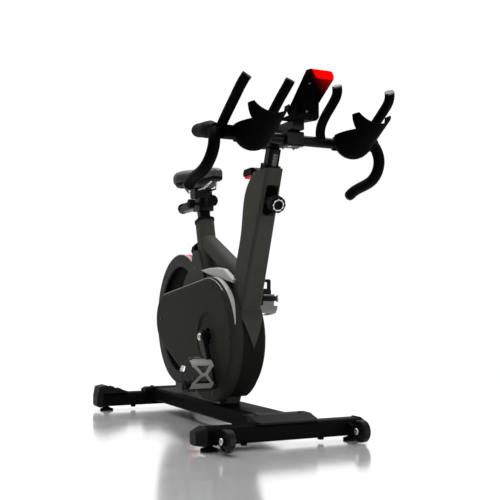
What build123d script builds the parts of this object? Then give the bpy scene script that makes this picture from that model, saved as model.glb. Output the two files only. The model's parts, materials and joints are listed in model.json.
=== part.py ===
# Indoor cycling bike with a rear flywheel: base, welded frame, belt drive, saddle and race handlebar.
# Millimetres. X is forward, Y is to the rider's left, Z is up, and the floor is Z = 0.
# Lengths along X are set out from the middle of the base. ORIGIN_X then moves the whole bike, so
# that the origin lies under the middle of its overall length.
import math
import os

from build123d import *

os.makedirs("parts", exist_ok=True)

# Datum
ORIGIN_X = 110.7

# Fits
RUN_GAP = 0.06
SLIDE_GAP = 0.3
CLEAR = 1.0

# Base
STAB_X = 490.0
STAB_DEPTH = 60.0
STAB_HEIGHT = 48.0
STAB_HALF = 240.0
STAB_Z = 16.0
TUBE_WALL = 3.0
CAP_LENGTH = 26.0
SPINE_HALF = 55.0
SPINE_Z = 30.0
SPINE_HEIGHT = 50.0
FOOT_Y = 222.0
FOOT_R = 24.0
PLUG_Y = 120.0
FOOT_STEM_R = 6.0
WHEEL_R = 31.0
WHEEL_W = 22.0
WHEEL_Y = 205.0
WHEEL_AHEAD = 82.0
WHEEL_Z = 36.0
AXLE_BOLT_R = 5.0
CHEEK_T = 4.0

# Frame
FRAME_HALF = 28.0
COLUMN_TILT = 21.0
COLUMN_TOP_X = 415.0
COLUMN_TOP_Z = 786.0
COLUMN_TOP_HALF = 27.0
COLUMN_LOW_HALF = 35.0
LEG_HALF = 23.0
SEAT_TILT = 16.0
SEAT_TOP_X = -85.0
SEAT_TOP_Z = 670.0
SEAT_TUBE_DEPTH = 70.0
STAY_T = 7.0
SHROUD_T = 4.0
SHROUD_GAP = 9.0
TONGUE_TOP = 345.0
TONGUE_HALF = 34.0
TONGUE_TIP = 256.0

# Resistance lever
LEVER_X = 362.0
LEVER_Z = 774.0
LEVER_HALF = 20.0
LEVER_PIN_R = 4.0

# Drive
CRANK_X = 112.0
CRANK_Z = 288.0
CRANK_LENGTH = 170.0
CRANK_ANGLE = 33.0
CRANK_AXLE_R = 12.0
ARM_Y = 82.0
ARM_T = 15.0
PEDAL_Y = 152.0
PEDAL_HALF_W = 44.0
PEDAL_HALF_L = 44.0
SPINDLE_R = 7.0
STRAP_X = 22.0
STRAP_HALF = 9.0
PULLEY_R = 115.0
PULLEY_Y = -60.0
PULLEY_W = 15.0
SMALL_PULLEY_R = 23.0
BELT_T = 3.0
WHEEL_AXIS_X = -280.0
WHEEL_AXIS_Z = 338.0
FLYWHEEL_R = 232.0
FLYWHEEL_RIM = 44.0
FLYWHEEL_HALF = 18.0
FLYWHEEL_WEB = 4.0
FLYWHEEL_AXLE_R = 9.0
YOKE_X = -92.0
YOKE_Z = 512.0
YOKE_PIN_R = 4.0
YOKE_IN = 21.0
YOKE_T = 4.0
YOKE_SECTOR = (32.0, 46.0)

# Covers
COVER_IN = 36.0
COVER_OUT = 75.0
LEFT_COVER_OUT = 53.0
COVER_R = 196.0
COVER_TAIL_R = 92.0
COVER_WALL = 3.5
LEFT_SHRINK = 22.0

# Saddle group
SEAT_POST_D = 42.0
SEAT_POST_W = 38.0
SEAT_POST_OUT = 46.0
SEAT_POST_IN = 230.0
RAIL_HALF = 16.0
RAIL_H = 22.0
RAIL_Z = 723.0
RAIL_BACK = -290.0
RAIL_FRONT = -20.0
SADDLE_BACK = -232.0
SADDLE_LENGTH = 265.0
SADDLE_HALF = 82.0
SADDLE_TOP = 856.0
SADDLE_SEAM_Z = 812.0

# Handlebar group
BAR_POST_D = 40.0
BAR_POST_W = 36.0
BAR_POST_OUT = 57.0
BAR_POST_IN = 210.0
BAR_RAIL_Z = 866.0
BAR_RAIL_H = 28.0
BAR_RAIL_HALF = 18.0
CROSSBAR_X = 545.0
BAR_RAIL_BACK = CROSSBAR_X - 157
BAR_RAIL_FRONT = CROSSBAR_X + 40
CROSSBAR_Z = 845.0
CROSSBAR_R = 15.0
CROSSBAR_HALF = 234.0
DROP_R = 16.0
HORN_R = 13.5
GRIP_TILT = 33.0
CUP_Y = 154.0
CUP_R = 54.0
CUP_WALL = 4.0
CUP_X = CROSSBAR_X + 75
CUP_Z = 844.0
CUP_LENGTH = 118.0
CUP_HORN_Z = 895.0
CUP_SIDE_Z = 857.0
CUP_COLLAR_X = CUP_X + 80
POD_TIP = (CROSSBAR_X - 109, 245.0, 869.0)
POD_LENGTH = 150.0
POD_R = 23.0
CONSOLE_X = CROSSBAR_X + 47
CONSOLE_Z = 900.0
CONSOLE_HALF = 39.0
CONSOLE_LENGTH = 142.0
LENS_LENGTH = 10.0

FRONT_X = STAB_X
REAR_X = -STAB_X
STAB_TOP = STAB_Z + STAB_HEIGHT
SPINE_TOP = SPINE_Z + SPINE_HEIGHT

made = {}


def keep(name, shape):
    """Store a finished piece under its node name."""
    made[name] = shape
    return shape


def side_slab(face, y_lo, y_hi):
    """Extrude an outline drawn in X and Z between two Y positions."""
    return extrude(Plane.XZ.offset(-y_hi) * face, amount=y_hi - y_lo)


def outline(*points):
    return make_face(Polyline(*points, close=True))


def block(x_lo, x_hi, y_lo, y_hi, z_lo, z_hi):
    size = Box(x_hi - x_lo, y_hi - y_lo, z_hi - z_lo)
    return Pos((x_lo + x_hi) / 2, (y_lo + y_hi) / 2, (z_lo + z_hi) / 2) * size


def rod_y(x, z, radius, y_lo, y_hi):
    turned = Rotation(90, 0, 0) * Cylinder(radius, y_hi - y_lo)
    return Pos(x, (y_lo + y_hi) / 2, z) * turned


def rod_x(y, z, radius, x_lo, x_hi):
    turned = Rotation(0, 90, 0) * Cylinder(radius, x_hi - x_lo)
    return Pos((x_lo + x_hi) / 2, y, z) * turned


def rod_z(x, y, radius, z_lo, z_hi):
    return Pos(x, y, (z_lo + z_hi) / 2) * Cylinder(radius, z_hi - z_lo)


def swept_tube(points, radius):
    """Round tube along a smooth line through the points."""
    path = Spline(*points)
    section = Plane(origin=path @ 0, z_dir=path % 0) * Circle(radius)
    return sweep(section, path=path)


def mirror_y(shape):
    return mirror(shape, about=Plane.XZ)


def both(shape):
    """A piece and its mirror image, as separate solids of one node."""
    return Compound(children=[shape, mirror_y(shape)])


def group(solids):
    return Compound(children=list(solids))


def belt_outline(x1, z1, r1, x2, z2, r2):
    """Outline of a band round two circles: both discs and the quadrilateral between tangents."""
    span = math.hypot(x2 - x1, z2 - z1)
    along = math.atan2(z2 - z1, x2 - x1)
    lean = math.acos((r1 - r2) / span)
    up = along + lean
    down = along - lean
    corners = [
        (x1 + r1 * math.cos(up), z1 + r1 * math.sin(up)),
        (x2 + r2 * math.cos(up), z2 + r2 * math.sin(up)),
        (x2 + r2 * math.cos(down), z2 + r2 * math.sin(down)),
        (x1 + r1 * math.cos(down), z1 + r1 * math.sin(down)),
    ]
    return Pos(x1, z1) * Circle(r1) + Pos(x2, z2) * Circle(r2) + outline(*corners)


def knob(radius, length, lobes):
    """Hand knob on +Z with finger hollows round its rim."""
    body = Cylinder(radius, length, align=(Align.CENTER, Align.CENTER, Align.MIN))
    body = fillet(body.edges().filter_by(GeomType.CIRCLE), radius * 0.14)
    hollow = Pos(radius * 1.12, 0, 0) * Cylinder(
        radius * 0.22, length, align=(Align.CENTER, Align.CENTER, Align.MIN)
    )
    for index in range(lobes):
        body -= Rotation(0, 0, index * 360 / lobes) * hollow
    return body


def bolt_z(x, y, z, radius, height):
    """Low round-headed socket screw whose head stands on z."""
    head = rod_z(x, y, radius, z, z + height)
    head = fillet(head.edges().group_by(Axis.Z)[-1], height * 0.45)
    socket = Pos(x, y, z + height) * extrude(RegularPolygon(radius * 0.5, 6), amount=-height * 0.6)
    return head - socket


def bolt_y(x, y, z, radius, height, side):
    """The same screw with its head on a side face, side is -1 for right and 1 for left."""
    head = bolt_z(0, 0, 0, radius, height)
    return Pos(x, y, z) * (Rotation(-90 * side, 0, 0) * head)


# Base: two cross tubes, the spine beam between them, caps, feet and transport wheels.
def cross_tube(x):
    tube = block(x - STAB_DEPTH / 2, x + STAB_DEPTH / 2, -STAB_HALF, STAB_HALF, STAB_Z, STAB_TOP)
    tube = fillet(tube.edges().filter_by(Axis.Y), 12)
    wall = TUBE_WALL
    bore = block(
        x - STAB_DEPTH / 2 + wall,
        x + STAB_DEPTH / 2 - wall,
        -STAB_HALF,
        STAB_HALF,
        STAB_Z + wall,
        STAB_TOP - wall,
    )
    tube -= fillet(bore.edges().filter_by(Axis.Y), 9)
    for side in (-1, 1):
        tube += rod_z(x, side * PLUG_Y, 9, STAB_Z - 8, STAB_Z + 1)
        tube += rod_z(x, side * FOOT_Y, FOOT_STEM_R + 5, STAB_Z + 1, STAB_TOP - 1)
        tube -= rod_z(x, side * FOOT_Y, FOOT_STEM_R + RUN_GAP, STAB_Z, STAB_TOP - 5)
    return tube


cross_tubes = [cross_tube(FRONT_X), cross_tube(REAR_X)]


def front_end_cap():
    """Moulded end of the front tube: drawn down and back to a slanted face, with grip ribs."""
    root = Plane(origin=(FRONT_X, STAB_HALF, STAB_Z + STAB_HEIGHT / 2), x_dir=(1, 0, 0), z_dir=(0, 1, 0))
    tip = Plane(
        origin=(FRONT_X - 8, STAB_HALF + CAP_LENGTH, STAB_Z + STAB_HEIGHT / 2 - 5),
        x_dir=(1, 0, 0),
        z_dir=(0, 1, 0),
    )
    cap = loft(
        Sketch()
        + [
            root * RectangleRounded(STAB_DEPTH + 6, STAB_HEIGHT + 5, 13),
            tip * RectangleRounded(STAB_DEPTH - 18, STAB_HEIGHT - 12, 9),
        ]
    )
    for step in range(3):
        y = STAB_HALF + 6 + 6 * step
        cap -= block(FRONT_X - 22, FRONT_X + 12, y, y + 2.4, STAB_TOP - 5.0 - 2.1 * step, STAB_TOP + 6)
    return cap


end_caps = [front_end_cap(), mirror_y(front_end_cap())]


def stretch_pad():
    """Rear cap with a wedge step: a calf-stretch pad with two ridges across its slope."""
    x_lo = REAR_X - STAB_DEPTH / 2 - 3
    x_hi = REAR_X + STAB_DEPTH / 2 + 3
    y_out = STAB_HALF + CAP_LENGTH
    wedge = make_face(
        Polyline(
            (150, STAB_TOP),
            (150, STAB_TOP + 5),
            (STAB_HALF - 8, STAB_TOP + 29),
            (y_out - 8, STAB_TOP + 24),
            (y_out, STAB_TOP - 8),
            (y_out, STAB_Z + 6),
            (y_out - 8, STAB_Z - 2),
            (STAB_HALF, STAB_Z - 2),
            (STAB_HALF, STAB_TOP),
            close=True,
        )
    )
    pad = Pos(x_lo, 0, 0) * extrude(Plane.YZ * wedge, amount=x_hi - x_lo)
    pad = chamfer(pad.edges().filter_by(Axis.Z), 5)
    slope = math.degrees(math.atan2(24, STAB_HALF - 8 - 150))
    for step in range(2):
        y = 176 + 28 * step
        z = STAB_TOP + 5 + (y - 150) * math.tan(math.radians(slope))
        ridge = Rotation(0, 90, 0) * Cylinder(3.0, x_hi - x_lo - 16)
        pad += Pos(REAR_X, y, z) * ridge
    return pad


end_caps += [stretch_pad(), mirror_y(stretch_pad())]

spine = block(
    REAR_X + STAB_DEPTH / 2,
    FRONT_X - STAB_DEPTH / 2,
    -SPINE_HALF,
    SPINE_HALF,
    SPINE_Z,
    SPINE_TOP,
)
spine = fillet(spine.edges().filter_by(Axis.X), 11)
hollow = block(
    REAR_X + STAB_DEPTH / 2,
    FRONT_X - STAB_DEPTH / 2,
    -SPINE_HALF + TUBE_WALL,
    SPINE_HALF - TUBE_WALL,
    SPINE_Z + TUBE_WALL,
    SPINE_TOP - TUBE_WALL,
)
keep("spine_beam", spine - fillet(hollow.edges().filter_by(Axis.X), 8))


def spine_plate(half_width, sign):
    """Cover over the joint of spine and cross tube, sloping down to the outside."""
    x_in = STAB_X - STAB_DEPTH / 2
    profile = outline(
        (sign * (x_in - 26), SPINE_TOP),
        (sign * (x_in - 26), SPINE_TOP + 3),
        (sign * (x_in + 12), SPINE_TOP + 3),
        (sign * (x_in + STAB_DEPTH + 7), STAB_TOP + 5),
        (sign * (x_in + STAB_DEPTH + 7), STAB_TOP),
        (sign * x_in, STAB_TOP),
        (sign * x_in, SPINE_TOP),
    )
    plate = side_slab(profile, -half_width, half_width)
    upright = plate.edges().filter_by(Axis.Z)
    tall = [edge for edge in upright if abs(abs(edge.center().X) - (x_in + STAB_DEPTH + 7)) < 1]
    return fillet(tall, 16)


keep("base_covers", group(end_caps + [spine_plate(95, 1), spine_plate(82, -1)]))

plate_bolts = []
for sign, half_width in ((1, 95), (-1, 82)):
    for y in (-half_width + 26, half_width - 26):
        plate_bolts.append(bolt_z(sign * (STAB_X - STAB_DEPTH / 2 + 2), y, SPINE_TOP + 3, 6.5, 4))


def levelling_foot(x, y):
    disc = rod_z(x, y, FOOT_R, 0, 7)
    disc = fillet(disc.edges().group_by(Axis.Z)[-1], 2.5)
    cone = Pos(x, y, 7) * Cone(FOOT_R * 0.7, 9, 6, align=(Align.CENTER, Align.CENTER, Align.MIN))
    stem = rod_z(x, y, FOOT_STEM_R, 9, STAB_TOP - 12)
    return disc + cone + stem


for name, x, y in (
    ("foot_front_right", FRONT_X, -FOOT_Y),
    ("foot_front_left", FRONT_X, FOOT_Y),
    ("foot_rear_right", REAR_X, -FOOT_Y),
    ("foot_rear_left", REAR_X, FOOT_Y),
):
    keep(name, levelling_foot(x, y))

WHEEL_X = FRONT_X + WHEEL_AHEAD


def wheel_bracket(y):
    """Two cheeks that carry one transport wheel ahead of the front tube."""
    face_x = FRONT_X + STAB_DEPTH / 2
    arm = outline(
        (face_x, STAB_Z + 9),
        (face_x, STAB_TOP - 9),
        (WHEEL_X, WHEEL_Z + 12),
        (WHEEL_X, WHEEL_Z - 12),
    )
    shape = arm + Pos(WHEEL_X, WHEEL_Z) * Circle(12)
    cheeks = []
    for side in (-1, 1):
        near = y + side * (WHEEL_W / 2 + CLEAR)
        far = near + side * CHEEK_T
        cheek = side_slab(shape, min(near, far), max(near, far))
        cheeks.append(cheek - rod_y(WHEEL_X, WHEEL_Z, AXLE_BOLT_R, min(near, far), max(near, far)))
    return cheeks


keep("stabilizers", group(cross_tubes + wheel_bracket(-WHEEL_Y) + wheel_bracket(WHEEL_Y)))


def wheel_bolt(y):
    half = WHEEL_W / 2 + CLEAR + CHEEK_T
    bolt = rod_y(WHEEL_X, WHEEL_Z, AXLE_BOLT_R, y - half, y + half)
    for side in (-1, 1):
        bolt += bolt_y(WHEEL_X, y + side * half, WHEEL_Z, 9, 5, side)
    return bolt


steel_parts = [wheel_bolt(-WHEEL_Y), wheel_bolt(WHEEL_Y)]


def transport_wheel(y):
    """Small wheel turned as one profile: crowned tread, dished sides and a hub."""
    half = WHEEL_W / 2
    bore = AXLE_BOLT_R + RUN_GAP
    profile = make_face(
        Polyline(
            (bore, -half),
            (14, -half),
            (15, -half + 4),
            (WHEEL_R - 8, -half + 4),
            (WHEEL_R - 6, -half),
            (WHEEL_R - 2.5, -half),
            (WHEEL_R, -half + 4),
            (WHEEL_R, half - 4),
            (WHEEL_R - 2.5, half),
            (WHEEL_R - 6, half),
            (WHEEL_R - 8, half - 4),
            (15, half - 4),
            (14, half),
            (bore, half),
            close=True,
        )
    )
    wheel = revolve(profile, Axis.Y)
    return Pos(WHEEL_X, y, WHEEL_Z) * wheel


keep("transport_wheel_right", transport_wheel(-WHEEL_Y))
keep("transport_wheel_left", transport_wheel(WHEEL_Y))

# Frame: forward column with its leg, seat tube, top tube and the core that holds the crank bearings.
lean = math.radians(COLUMN_TILT)
POST = Plane(
    origin=(COLUMN_TOP_X, 0, COLUMN_TOP_Z),
    x_dir=(math.cos(lean), 0, -math.sin(lean)),
    z_dir=(math.sin(lean), 0, math.cos(lean)),
)
back = math.radians(SEAT_TILT)
SEAT = Plane(
    origin=(SEAT_TOP_X, 0, SEAT_TOP_Z),
    x_dir=(math.cos(back), 0, math.sin(back)),
    z_dir=(-math.sin(back), 0, math.cos(back)),
)


def prism(plane, depth, width, radius, lo, hi):
    """Rounded bar along a tube axis between two positions on it."""
    return extrude(plane.offset(lo) * RectangleRounded(depth, width, radius), amount=hi - lo)


HEEL = Vector(108, 130)
SMALL_OF_BACK = Vector(236, 515)
SHOULDER = Vector(346, COLUMN_TOP_Z - 6)
rise = (SMALL_OF_BACK - HEEL).normalized()
back_line = Spline(SMALL_OF_BACK, (266, 600), (277, 665), (297, 733), SHOULDER, tangents=(rise, (0.8, 0.6)))
front_line = Polyline(
    SHOULDER,
    (COLUMN_TOP_X + 35, COLUMN_TOP_Z - 6),
    (200, 160),
    (152, SPINE_TOP),
    (104, SPINE_TOP),
    HEEL,
    SMALL_OF_BACK,
)
column_face = make_face([back_line] + front_line.edges())
bends = [v for v in column_face.vertices() if 100 < v.Y < 400]
column_face = fillet(bends, 55)

# Seen from the front the column widens downwards, and its leg narrows again between the covers.
upper_face = outline(
    (-COLUMN_TOP_HALF, COLUMN_TOP_Z),
    (COLUMN_TOP_HALF, COLUMN_TOP_Z),
    (COLUMN_LOW_HALF, TONGUE_TOP),
    (-COLUMN_LOW_HALF, TONGUE_TOP),
)
leg_face = outline(
    (-COLUMN_LOW_HALF, TONGUE_TOP),
    (COLUMN_LOW_HALF, TONGUE_TOP),
    (LEG_HALF, SPINE_TOP + 70),
    (LEG_HALF, SPINE_TOP),
    (-LEG_HALF, SPINE_TOP),
    (-LEG_HALF, SPINE_TOP + 70),
)
wide_column = side_slab(column_face, -COLUMN_LOW_HALF, COLUMN_LOW_HALF)
upper = wide_column & (Pos(100, 0, 0) * extrude(Plane.YZ * upper_face, amount=400))
long_edges = [e for e in upper.edges() if abs(e.center().Y) > COLUMN_TOP_HALF - 2 and e.length > 60]
long_edges = [e for e in long_edges if TONGUE_TOP + 20 < e.center().Z < COLUMN_TOP_Z - 20]
upper = fillet(long_edges, 11)
leg = wide_column & (Pos(50, 0, 0) * extrude(Plane.YZ * leg_face, amount=400))
column = upper + leg

# The column's foot narrows to a tongue that lies on the shroud between the covers.
tongue_face = outline(
    (-TONGUE_HALF + 2, TONGUE_TOP + 40),
    (TONGUE_HALF - 2, TONGUE_TOP + 40),
    (TONGUE_HALF, TONGUE_TOP),
    (0, TONGUE_TIP),
    (-TONGUE_HALF, TONGUE_TOP),
)
tongue = Pos(230, 0, 0) * extrude(Plane.YZ * tongue_face, amount=90)
tongue = tongue & side_slab(Pos(CRANK_X, CRANK_Z - 8) * Circle(COVER_R - 3), -TONGUE_HALF, TONGUE_HALF)
column = column + tongue
column_body = column

# A slot in the shoulder takes the lever, whose pin runs through the cheeks that are left.
LEVER_SLOT = 13.4
column = column - block(LEVER_X - 70, LEVER_X + 11, -LEVER_SLOT, LEVER_SLOT, LEVER_Z - 22, LEVER_Z + 30)
column = column - rod_y(LEVER_X, LEVER_Z, LEVER_PIN_R, -COLUMN_LOW_HALF, COLUMN_LOW_HALF)
SLEEVE_IN = 120.0
column = column - prism(POST, BAR_POST_D + 8, BAR_POST_W + 8, 12, -SLEEVE_IN, 40)
column = column - prism(POST, BAR_POST_D + 2, BAR_POST_W + 2, 10, -BAR_POST_IN - 70, 0)
hollow_back = [(113, SPINE_TOP + 12), (116, 130), (244, 512), (275, 598), (287, 665), (297, 712)]
hollow_front = [(413, 712), (197, 175), (147, SPINE_TOP + 12)]
inside = side_slab(outline(*hollow_back, *hollow_front), -LEG_HALF + TUBE_WALL, LEG_HALF - TUBE_WALL)
inside = inside & (POST * Pos(0, 0, -SLEEVE_IN - 8 - 400) * Box(900, 200, 800))
column = column - inside

# The pull knob stands off the column on a barrel that is let into a shallow recess.
KNOB_DOWN = 90.0
KNOB_FACE = 54.0
RECESS_FACE = 26.5
BARREL_R = 18.0
column = column - POST * Pos(RECESS_FACE + 20, 0, -KNOB_DOWN) * Box(40, 38, 92)
barrel = POST * Pos(0, 0, -KNOB_DOWN) * Rotation(0, 90, 0) * Cylinder(
    BARREL_R, KNOB_FACE, align=(Align.CENTER, Align.CENTER, Align.MIN)
)
column = column - barrel
keep("frame_column", column)

seat_tube_body = prism(SEAT, SEAT_TUBE_DEPTH, 2 * FRAME_HALF, 24, -300, 0)
SEAT_SLEEVE_IN = 110.0
SEAT_KNOB_DOWN = 74.0
seat_tube = seat_tube_body - prism(SEAT, SEAT_POST_D + 8, SEAT_POST_W + 8, 16, -SEAT_SLEEVE_IN, 1)
seat_tube = seat_tube - prism(SEAT, SEAT_POST_D + 2, SEAT_POST_W + 2, 13, -SEAT_POST_IN - 55, 0)
seat_tube = seat_tube - SEAT * Pos(-30, 0, -SEAT_KNOB_DOWN) * Rotation(0, 90, 0) * Cylinder(10, 30)
keep("seat_tube", seat_tube)

TOP_TUBE_HALF = 26.0
TOP_TUBE_WALL = 6.0


def top_tube_bar(inset, radius):
    """Straight rounded bar from the seat tube down to the column, drawn in by an inset."""
    rise = 1.1 * inset
    shape = outline((-80, 643 - rise), (262, 483 - rise), (262, 424 + rise), (-80, 584 + rise))
    bar = side_slab(shape, -TOP_TUBE_HALF + inset, TOP_TUBE_HALF - inset)
    sides = bar.edges().filter_by(lambda e: abs(abs(e.center().Y) - TOP_TUBE_HALF + inset) < 0.1)
    return fillet(sides, radius)


top_tube = top_tube_bar(0, 18) - top_tube_bar(TOP_TUBE_WALL, 13) - seat_tube_body - column_body
keep("top_tube", top_tube.solids().sort_by(SortBy.VOLUME)[-1])

core_face = outline((-34, 490), (60, 492), (150, 479), (238, 452), (160, 208), (70, 208), (-20, 330))
core = side_slab(core_face, -FRAME_HALF, FRAME_HALF)
hollow = side_slab(offset(core_face, -5), -FRAME_HALF + 4, FRAME_HALF - 4)
core = core - (hollow - rod_y(CRANK_X, CRANK_Z, 30, -FRAME_HALF, FRAME_HALF))
core = core - seat_tube_body - column_body - made["top_tube"]
core = core - rod_y(CRANK_X, CRANK_Z, 24, -FRAME_HALF, FRAME_HALF)
keep("frame_core", core.solids().sort_by(SortBy.VOLUME)[-1])

# Front shroud: a curved skin that closes the gap between the two covers ahead of the crank.
shroud_r = COVER_R - SHROUD_GAP
shroud_ring = Pos(CRANK_X, CRANK_Z - 8) * (Circle(shroud_r) - Circle(shroud_r - SHROUD_T))
shroud = side_slab(shroud_ring, -COVER_IN, COVER_IN)
shroud = shroud & block(CRANK_X + 60, CRANK_X + 260, -COVER_IN, COVER_IN, SPINE_TOP + 6, 410)
shroud = shroud - column_body
keep("front_shroud", shroud.solids().sort_by(SortBy.VOLUME)[-1])


def bearing_pair(x, z, outer, inner, y, width):
    rings = []
    for side in (-1, 1):
        lo = min(side * y, side * (y - width))
        hi = max(side * y, side * (y - width))
        rings.append(rod_y(x, z, outer, lo, hi) - rod_y(x, z, inner, lo, hi))
    return rings


crank_bearings = bearing_pair(CRANK_X, CRANK_Z, 24, CRANK_AXLE_R + RUN_GAP, FRAME_HALF, 14)


def rear_stay_outline():
    """Stay from the core to the flywheel, with a web that climbs behind the seat tube."""
    back_edge = [(-108, 572), (-117, 535), (-128, 512), (-165, 490), (-194, 462), (-202, 425), (-202, 360)]
    web = outline(*back_edge, (20, 360), (20, 440), (-60, 572))
    return web + belt_outline(CRANK_X - 60, CRANK_Z + 40, 52, WHEEL_AXIS_X, WHEEL_AXIS_Z, 34)


def rear_stay(side):
    """Flat plate with the flywheel bearing at its end and the brake pin at its top."""
    shape = rear_stay_outline()
    shape = shape - Pos(WHEEL_AXIS_X, WHEEL_AXIS_Z) * Circle(19)
    shape = shape - Pos(YOKE_X, YOKE_Z) * Circle(YOKE_PIN_R)
    lo = min(side * FRAME_HALF, side * (FRAME_HALF + STAY_T))
    hi = max(side * FRAME_HALF, side * (FRAME_HALF + STAY_T))
    plate = side_slab(shape, lo, hi)
    return plate - rod_y(CRANK_X, CRANK_Z, 26, lo, hi)


keep("rear_stays", group([rear_stay(-1), rear_stay(1)]))
wheel_bearings = bearing_pair(
    WHEEL_AXIS_X, WHEEL_AXIS_Z, 19, FLYWHEEL_AXLE_R + RUN_GAP, FRAME_HALF + STAY_T, STAY_T
)
steel_parts += crank_bearings + wheel_bearings


def side_accent(side):
    """Silver cheek on the frame's shoulder, above the drive cover and beside the top tube."""
    upper = [(-18, 502), (54, 507), (125, 506), (172, 500), (247, 464)]
    shape = outline(*upper, (242, 454), (125, 473), (46, 487))
    lo = FRAME_HALF
    hi = 43
    cheek = side_slab(shape, lo, hi)
    rim = [e for e in cheek.edges() if abs(e.center().Y - hi) < 0.01]
    cheek = chamfer(rim, 2.5)
    around = belt_outline(
        CRANK_X, CRANK_Z - 8, COVER_R + 1, WHEEL_AXIS_X, WHEEL_AXIS_Z, COVER_TAIL_R + 1
    )
    cheek = cheek - side_slab(around, COVER_IN - 0.5, hi + 1)
    cheek = cheek - side_slab(rear_stay_outline(), 0, FRAME_HALF + STAY_T) - column_body
    cheek = cheek.solids().sort_by(SortBy.VOLUME)[-1]
    return cheek if side > 0 else mirror_y(cheek)


side_accents = [side_accent(-1), side_accent(1)]


# Covers: teardrop shells round the belt, larger on the drive side.
def drive_cover(outer_y, shrink):
    big = COVER_R - shrink
    tail = COVER_TAIL_R - shrink
    shape = belt_outline(CRANK_X, CRANK_Z - 8, big, WHEEL_AXIS_X, WHEEL_AXIS_Z, tail)
    cover = side_slab(shape, COVER_IN, outer_y)
    rim = [e for e in cover.edges() if abs(e.center().Y - outer_y) < 0.01]
    cover = fillet(rim, 14)
    inner = belt_outline(
        CRANK_X, CRANK_Z - 8, big - COVER_WALL, WHEEL_AXIS_X, WHEEL_AXIS_Z, tail - COVER_WALL
    )
    hollow = side_slab(inner, COVER_IN, outer_y - COVER_WALL)
    rim = [e for e in hollow.edges() if abs(e.center().Y - outer_y + COVER_WALL) < 0.01]
    hollow = fillet(rim, 11)
    hollow = hollow - rod_y(CRANK_X, CRANK_Z, 82, outer_y - 10, outer_y)
    cover = cover - hollow
    dish = Pos(CRANK_X, outer_y - 6, CRANK_Z) * (
        Rotation(-90, 0, 0) * Cone(72, 78, 6, align=(Align.CENTER, Align.CENTER, Align.MIN))
    )
    cover = cover - dish
    return cover - rod_y(CRANK_X, CRANK_Z, 27, COVER_IN, outer_y)


right_cover = mirror_y(drive_cover(COVER_OUT, 0))
left_cover = drive_cover(LEFT_COVER_OUT, LEFT_SHRINK)


def cover_trim():
    """Silver line let into the rim of the drive cover, along its top and round its front."""
    outer = belt_outline(CRANK_X, CRANK_Z - 8, COVER_R + 0.8, WHEEL_AXIS_X, WHEEL_AXIS_Z, COVER_TAIL_R + 0.8)
    inner = belt_outline(CRANK_X, CRANK_Z - 8, COVER_R - 1.6, WHEEL_AXIS_X, WHEEL_AXIS_Z, COVER_TAIL_R - 1.6)
    edge = -COVER_OUT + 13.5
    ring = side_slab(outer - inner, edge, edge + 15)
    blade = outline((edge, 480), (edge + 15, 480), (edge + 15, 410), (edge + 2, 330), (edge, 330))
    band = ring & (Pos(CRANK_X - 10, 0, 0) * extrude(Plane.YZ * blade, amount=260))
    along_top = outline((-380, 395), (-60, 400), (CRANK_X + 10, 440), (CRANK_X + 10, 600), (-380, 600))
    line = ring & side_slab(along_top, edge, edge + 2.4)
    return band + line


trim = cover_trim()
keep("right_cover", right_cover - trim)
keep("silver_trim", group([trim] + side_accents))
keep("left_cover", left_cover)

screws = []
for side, y, big in ((-1, -COVER_OUT, COVER_R), (1, LEFT_COVER_OUT, COVER_R - LEFT_SHRINK)):
    for angle in (75, 5, 290, 230):
        x = CRANK_X + (big - 24) * math.cos(math.radians(angle))
        z = CRANK_Z - 8 + (big - 24) * math.sin(math.radians(angle))
        screws.append(bolt_y(x, y, z, 4.5, 2.5, side))
    screws.append(bolt_y(WHEEL_AXIS_X - 30, y, WHEEL_AXIS_Z, 4.5, 2.5, side))
steel_parts += plate_bolts + screws

# Drive: crank set, belt, pulleys, flywheel and its magnetic brake.
crank_axle = rod_y(CRANK_X, CRANK_Z, CRANK_AXLE_R, -ARM_Y - ARM_T, ARM_Y + ARM_T)
pulley = rod_y(CRANK_X, CRANK_Z, PULLEY_R, PULLEY_Y, PULLEY_Y + PULLEY_W)
pulley = pulley - rod_y(CRANK_X, CRANK_Z, CRANK_AXLE_R, PULLEY_Y, PULLEY_Y + PULLEY_W)
for index in range(5):
    spoke_hole = Pos(CRANK_X, 0, CRANK_Z) * (Rotation(0, index * 72, 0) * rod_y(66, 0, 24, PULLEY_Y, 0))
    pulley = pulley - spoke_hole
keep("drive_pulley", pulley)

belt_out = belt_outline(
    CRANK_X, CRANK_Z, PULLEY_R + 0.5 + BELT_T, WHEEL_AXIS_X, WHEEL_AXIS_Z, SMALL_PULLEY_R + 0.5 + BELT_T
)
belt_in = belt_outline(CRANK_X, CRANK_Z, PULLEY_R + 0.5, WHEEL_AXIS_X, WHEEL_AXIS_Z, SMALL_PULLEY_R + 0.5)
keep("drive_belt", side_slab(belt_out - belt_in, PULLEY_Y + 1, PULLEY_Y + PULLEY_W - 1))

swing = math.radians(CRANK_ANGLE)
PEDAL_DX = CRANK_LENGTH * math.sin(swing)
PEDAL_DZ = -CRANK_LENGTH * math.cos(swing)


def crank_arm():
    """Left-hand arm pointing up and back, tapered, with the axle and pedal eyes."""
    ends = belt_outline(CRANK_X, CRANK_Z, 19, CRANK_X - PEDAL_DX, CRANK_Z - PEDAL_DZ, 13.5)
    arm = side_slab(ends, ARM_Y, ARM_Y + ARM_T)
    rim = [e for e in arm.edges() if abs(e.center().Y - ARM_Y - ARM_T) < 0.01]
    arm = fillet(rim, 4)
    boss = rod_y(CRANK_X, CRANK_Z, 21, ARM_Y - 12, ARM_Y + ARM_T - 5)
    arm = arm + boss - rod_y(CRANK_X, CRANK_Z, CRANK_AXLE_R, ARM_Y - 12, ARM_Y + ARM_T)
    return arm - rod_y(CRANK_X - PEDAL_DX, CRANK_Z - PEDAL_DZ, SPINDLE_R, ARM_Y, ARM_Y + ARM_T)


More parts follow.
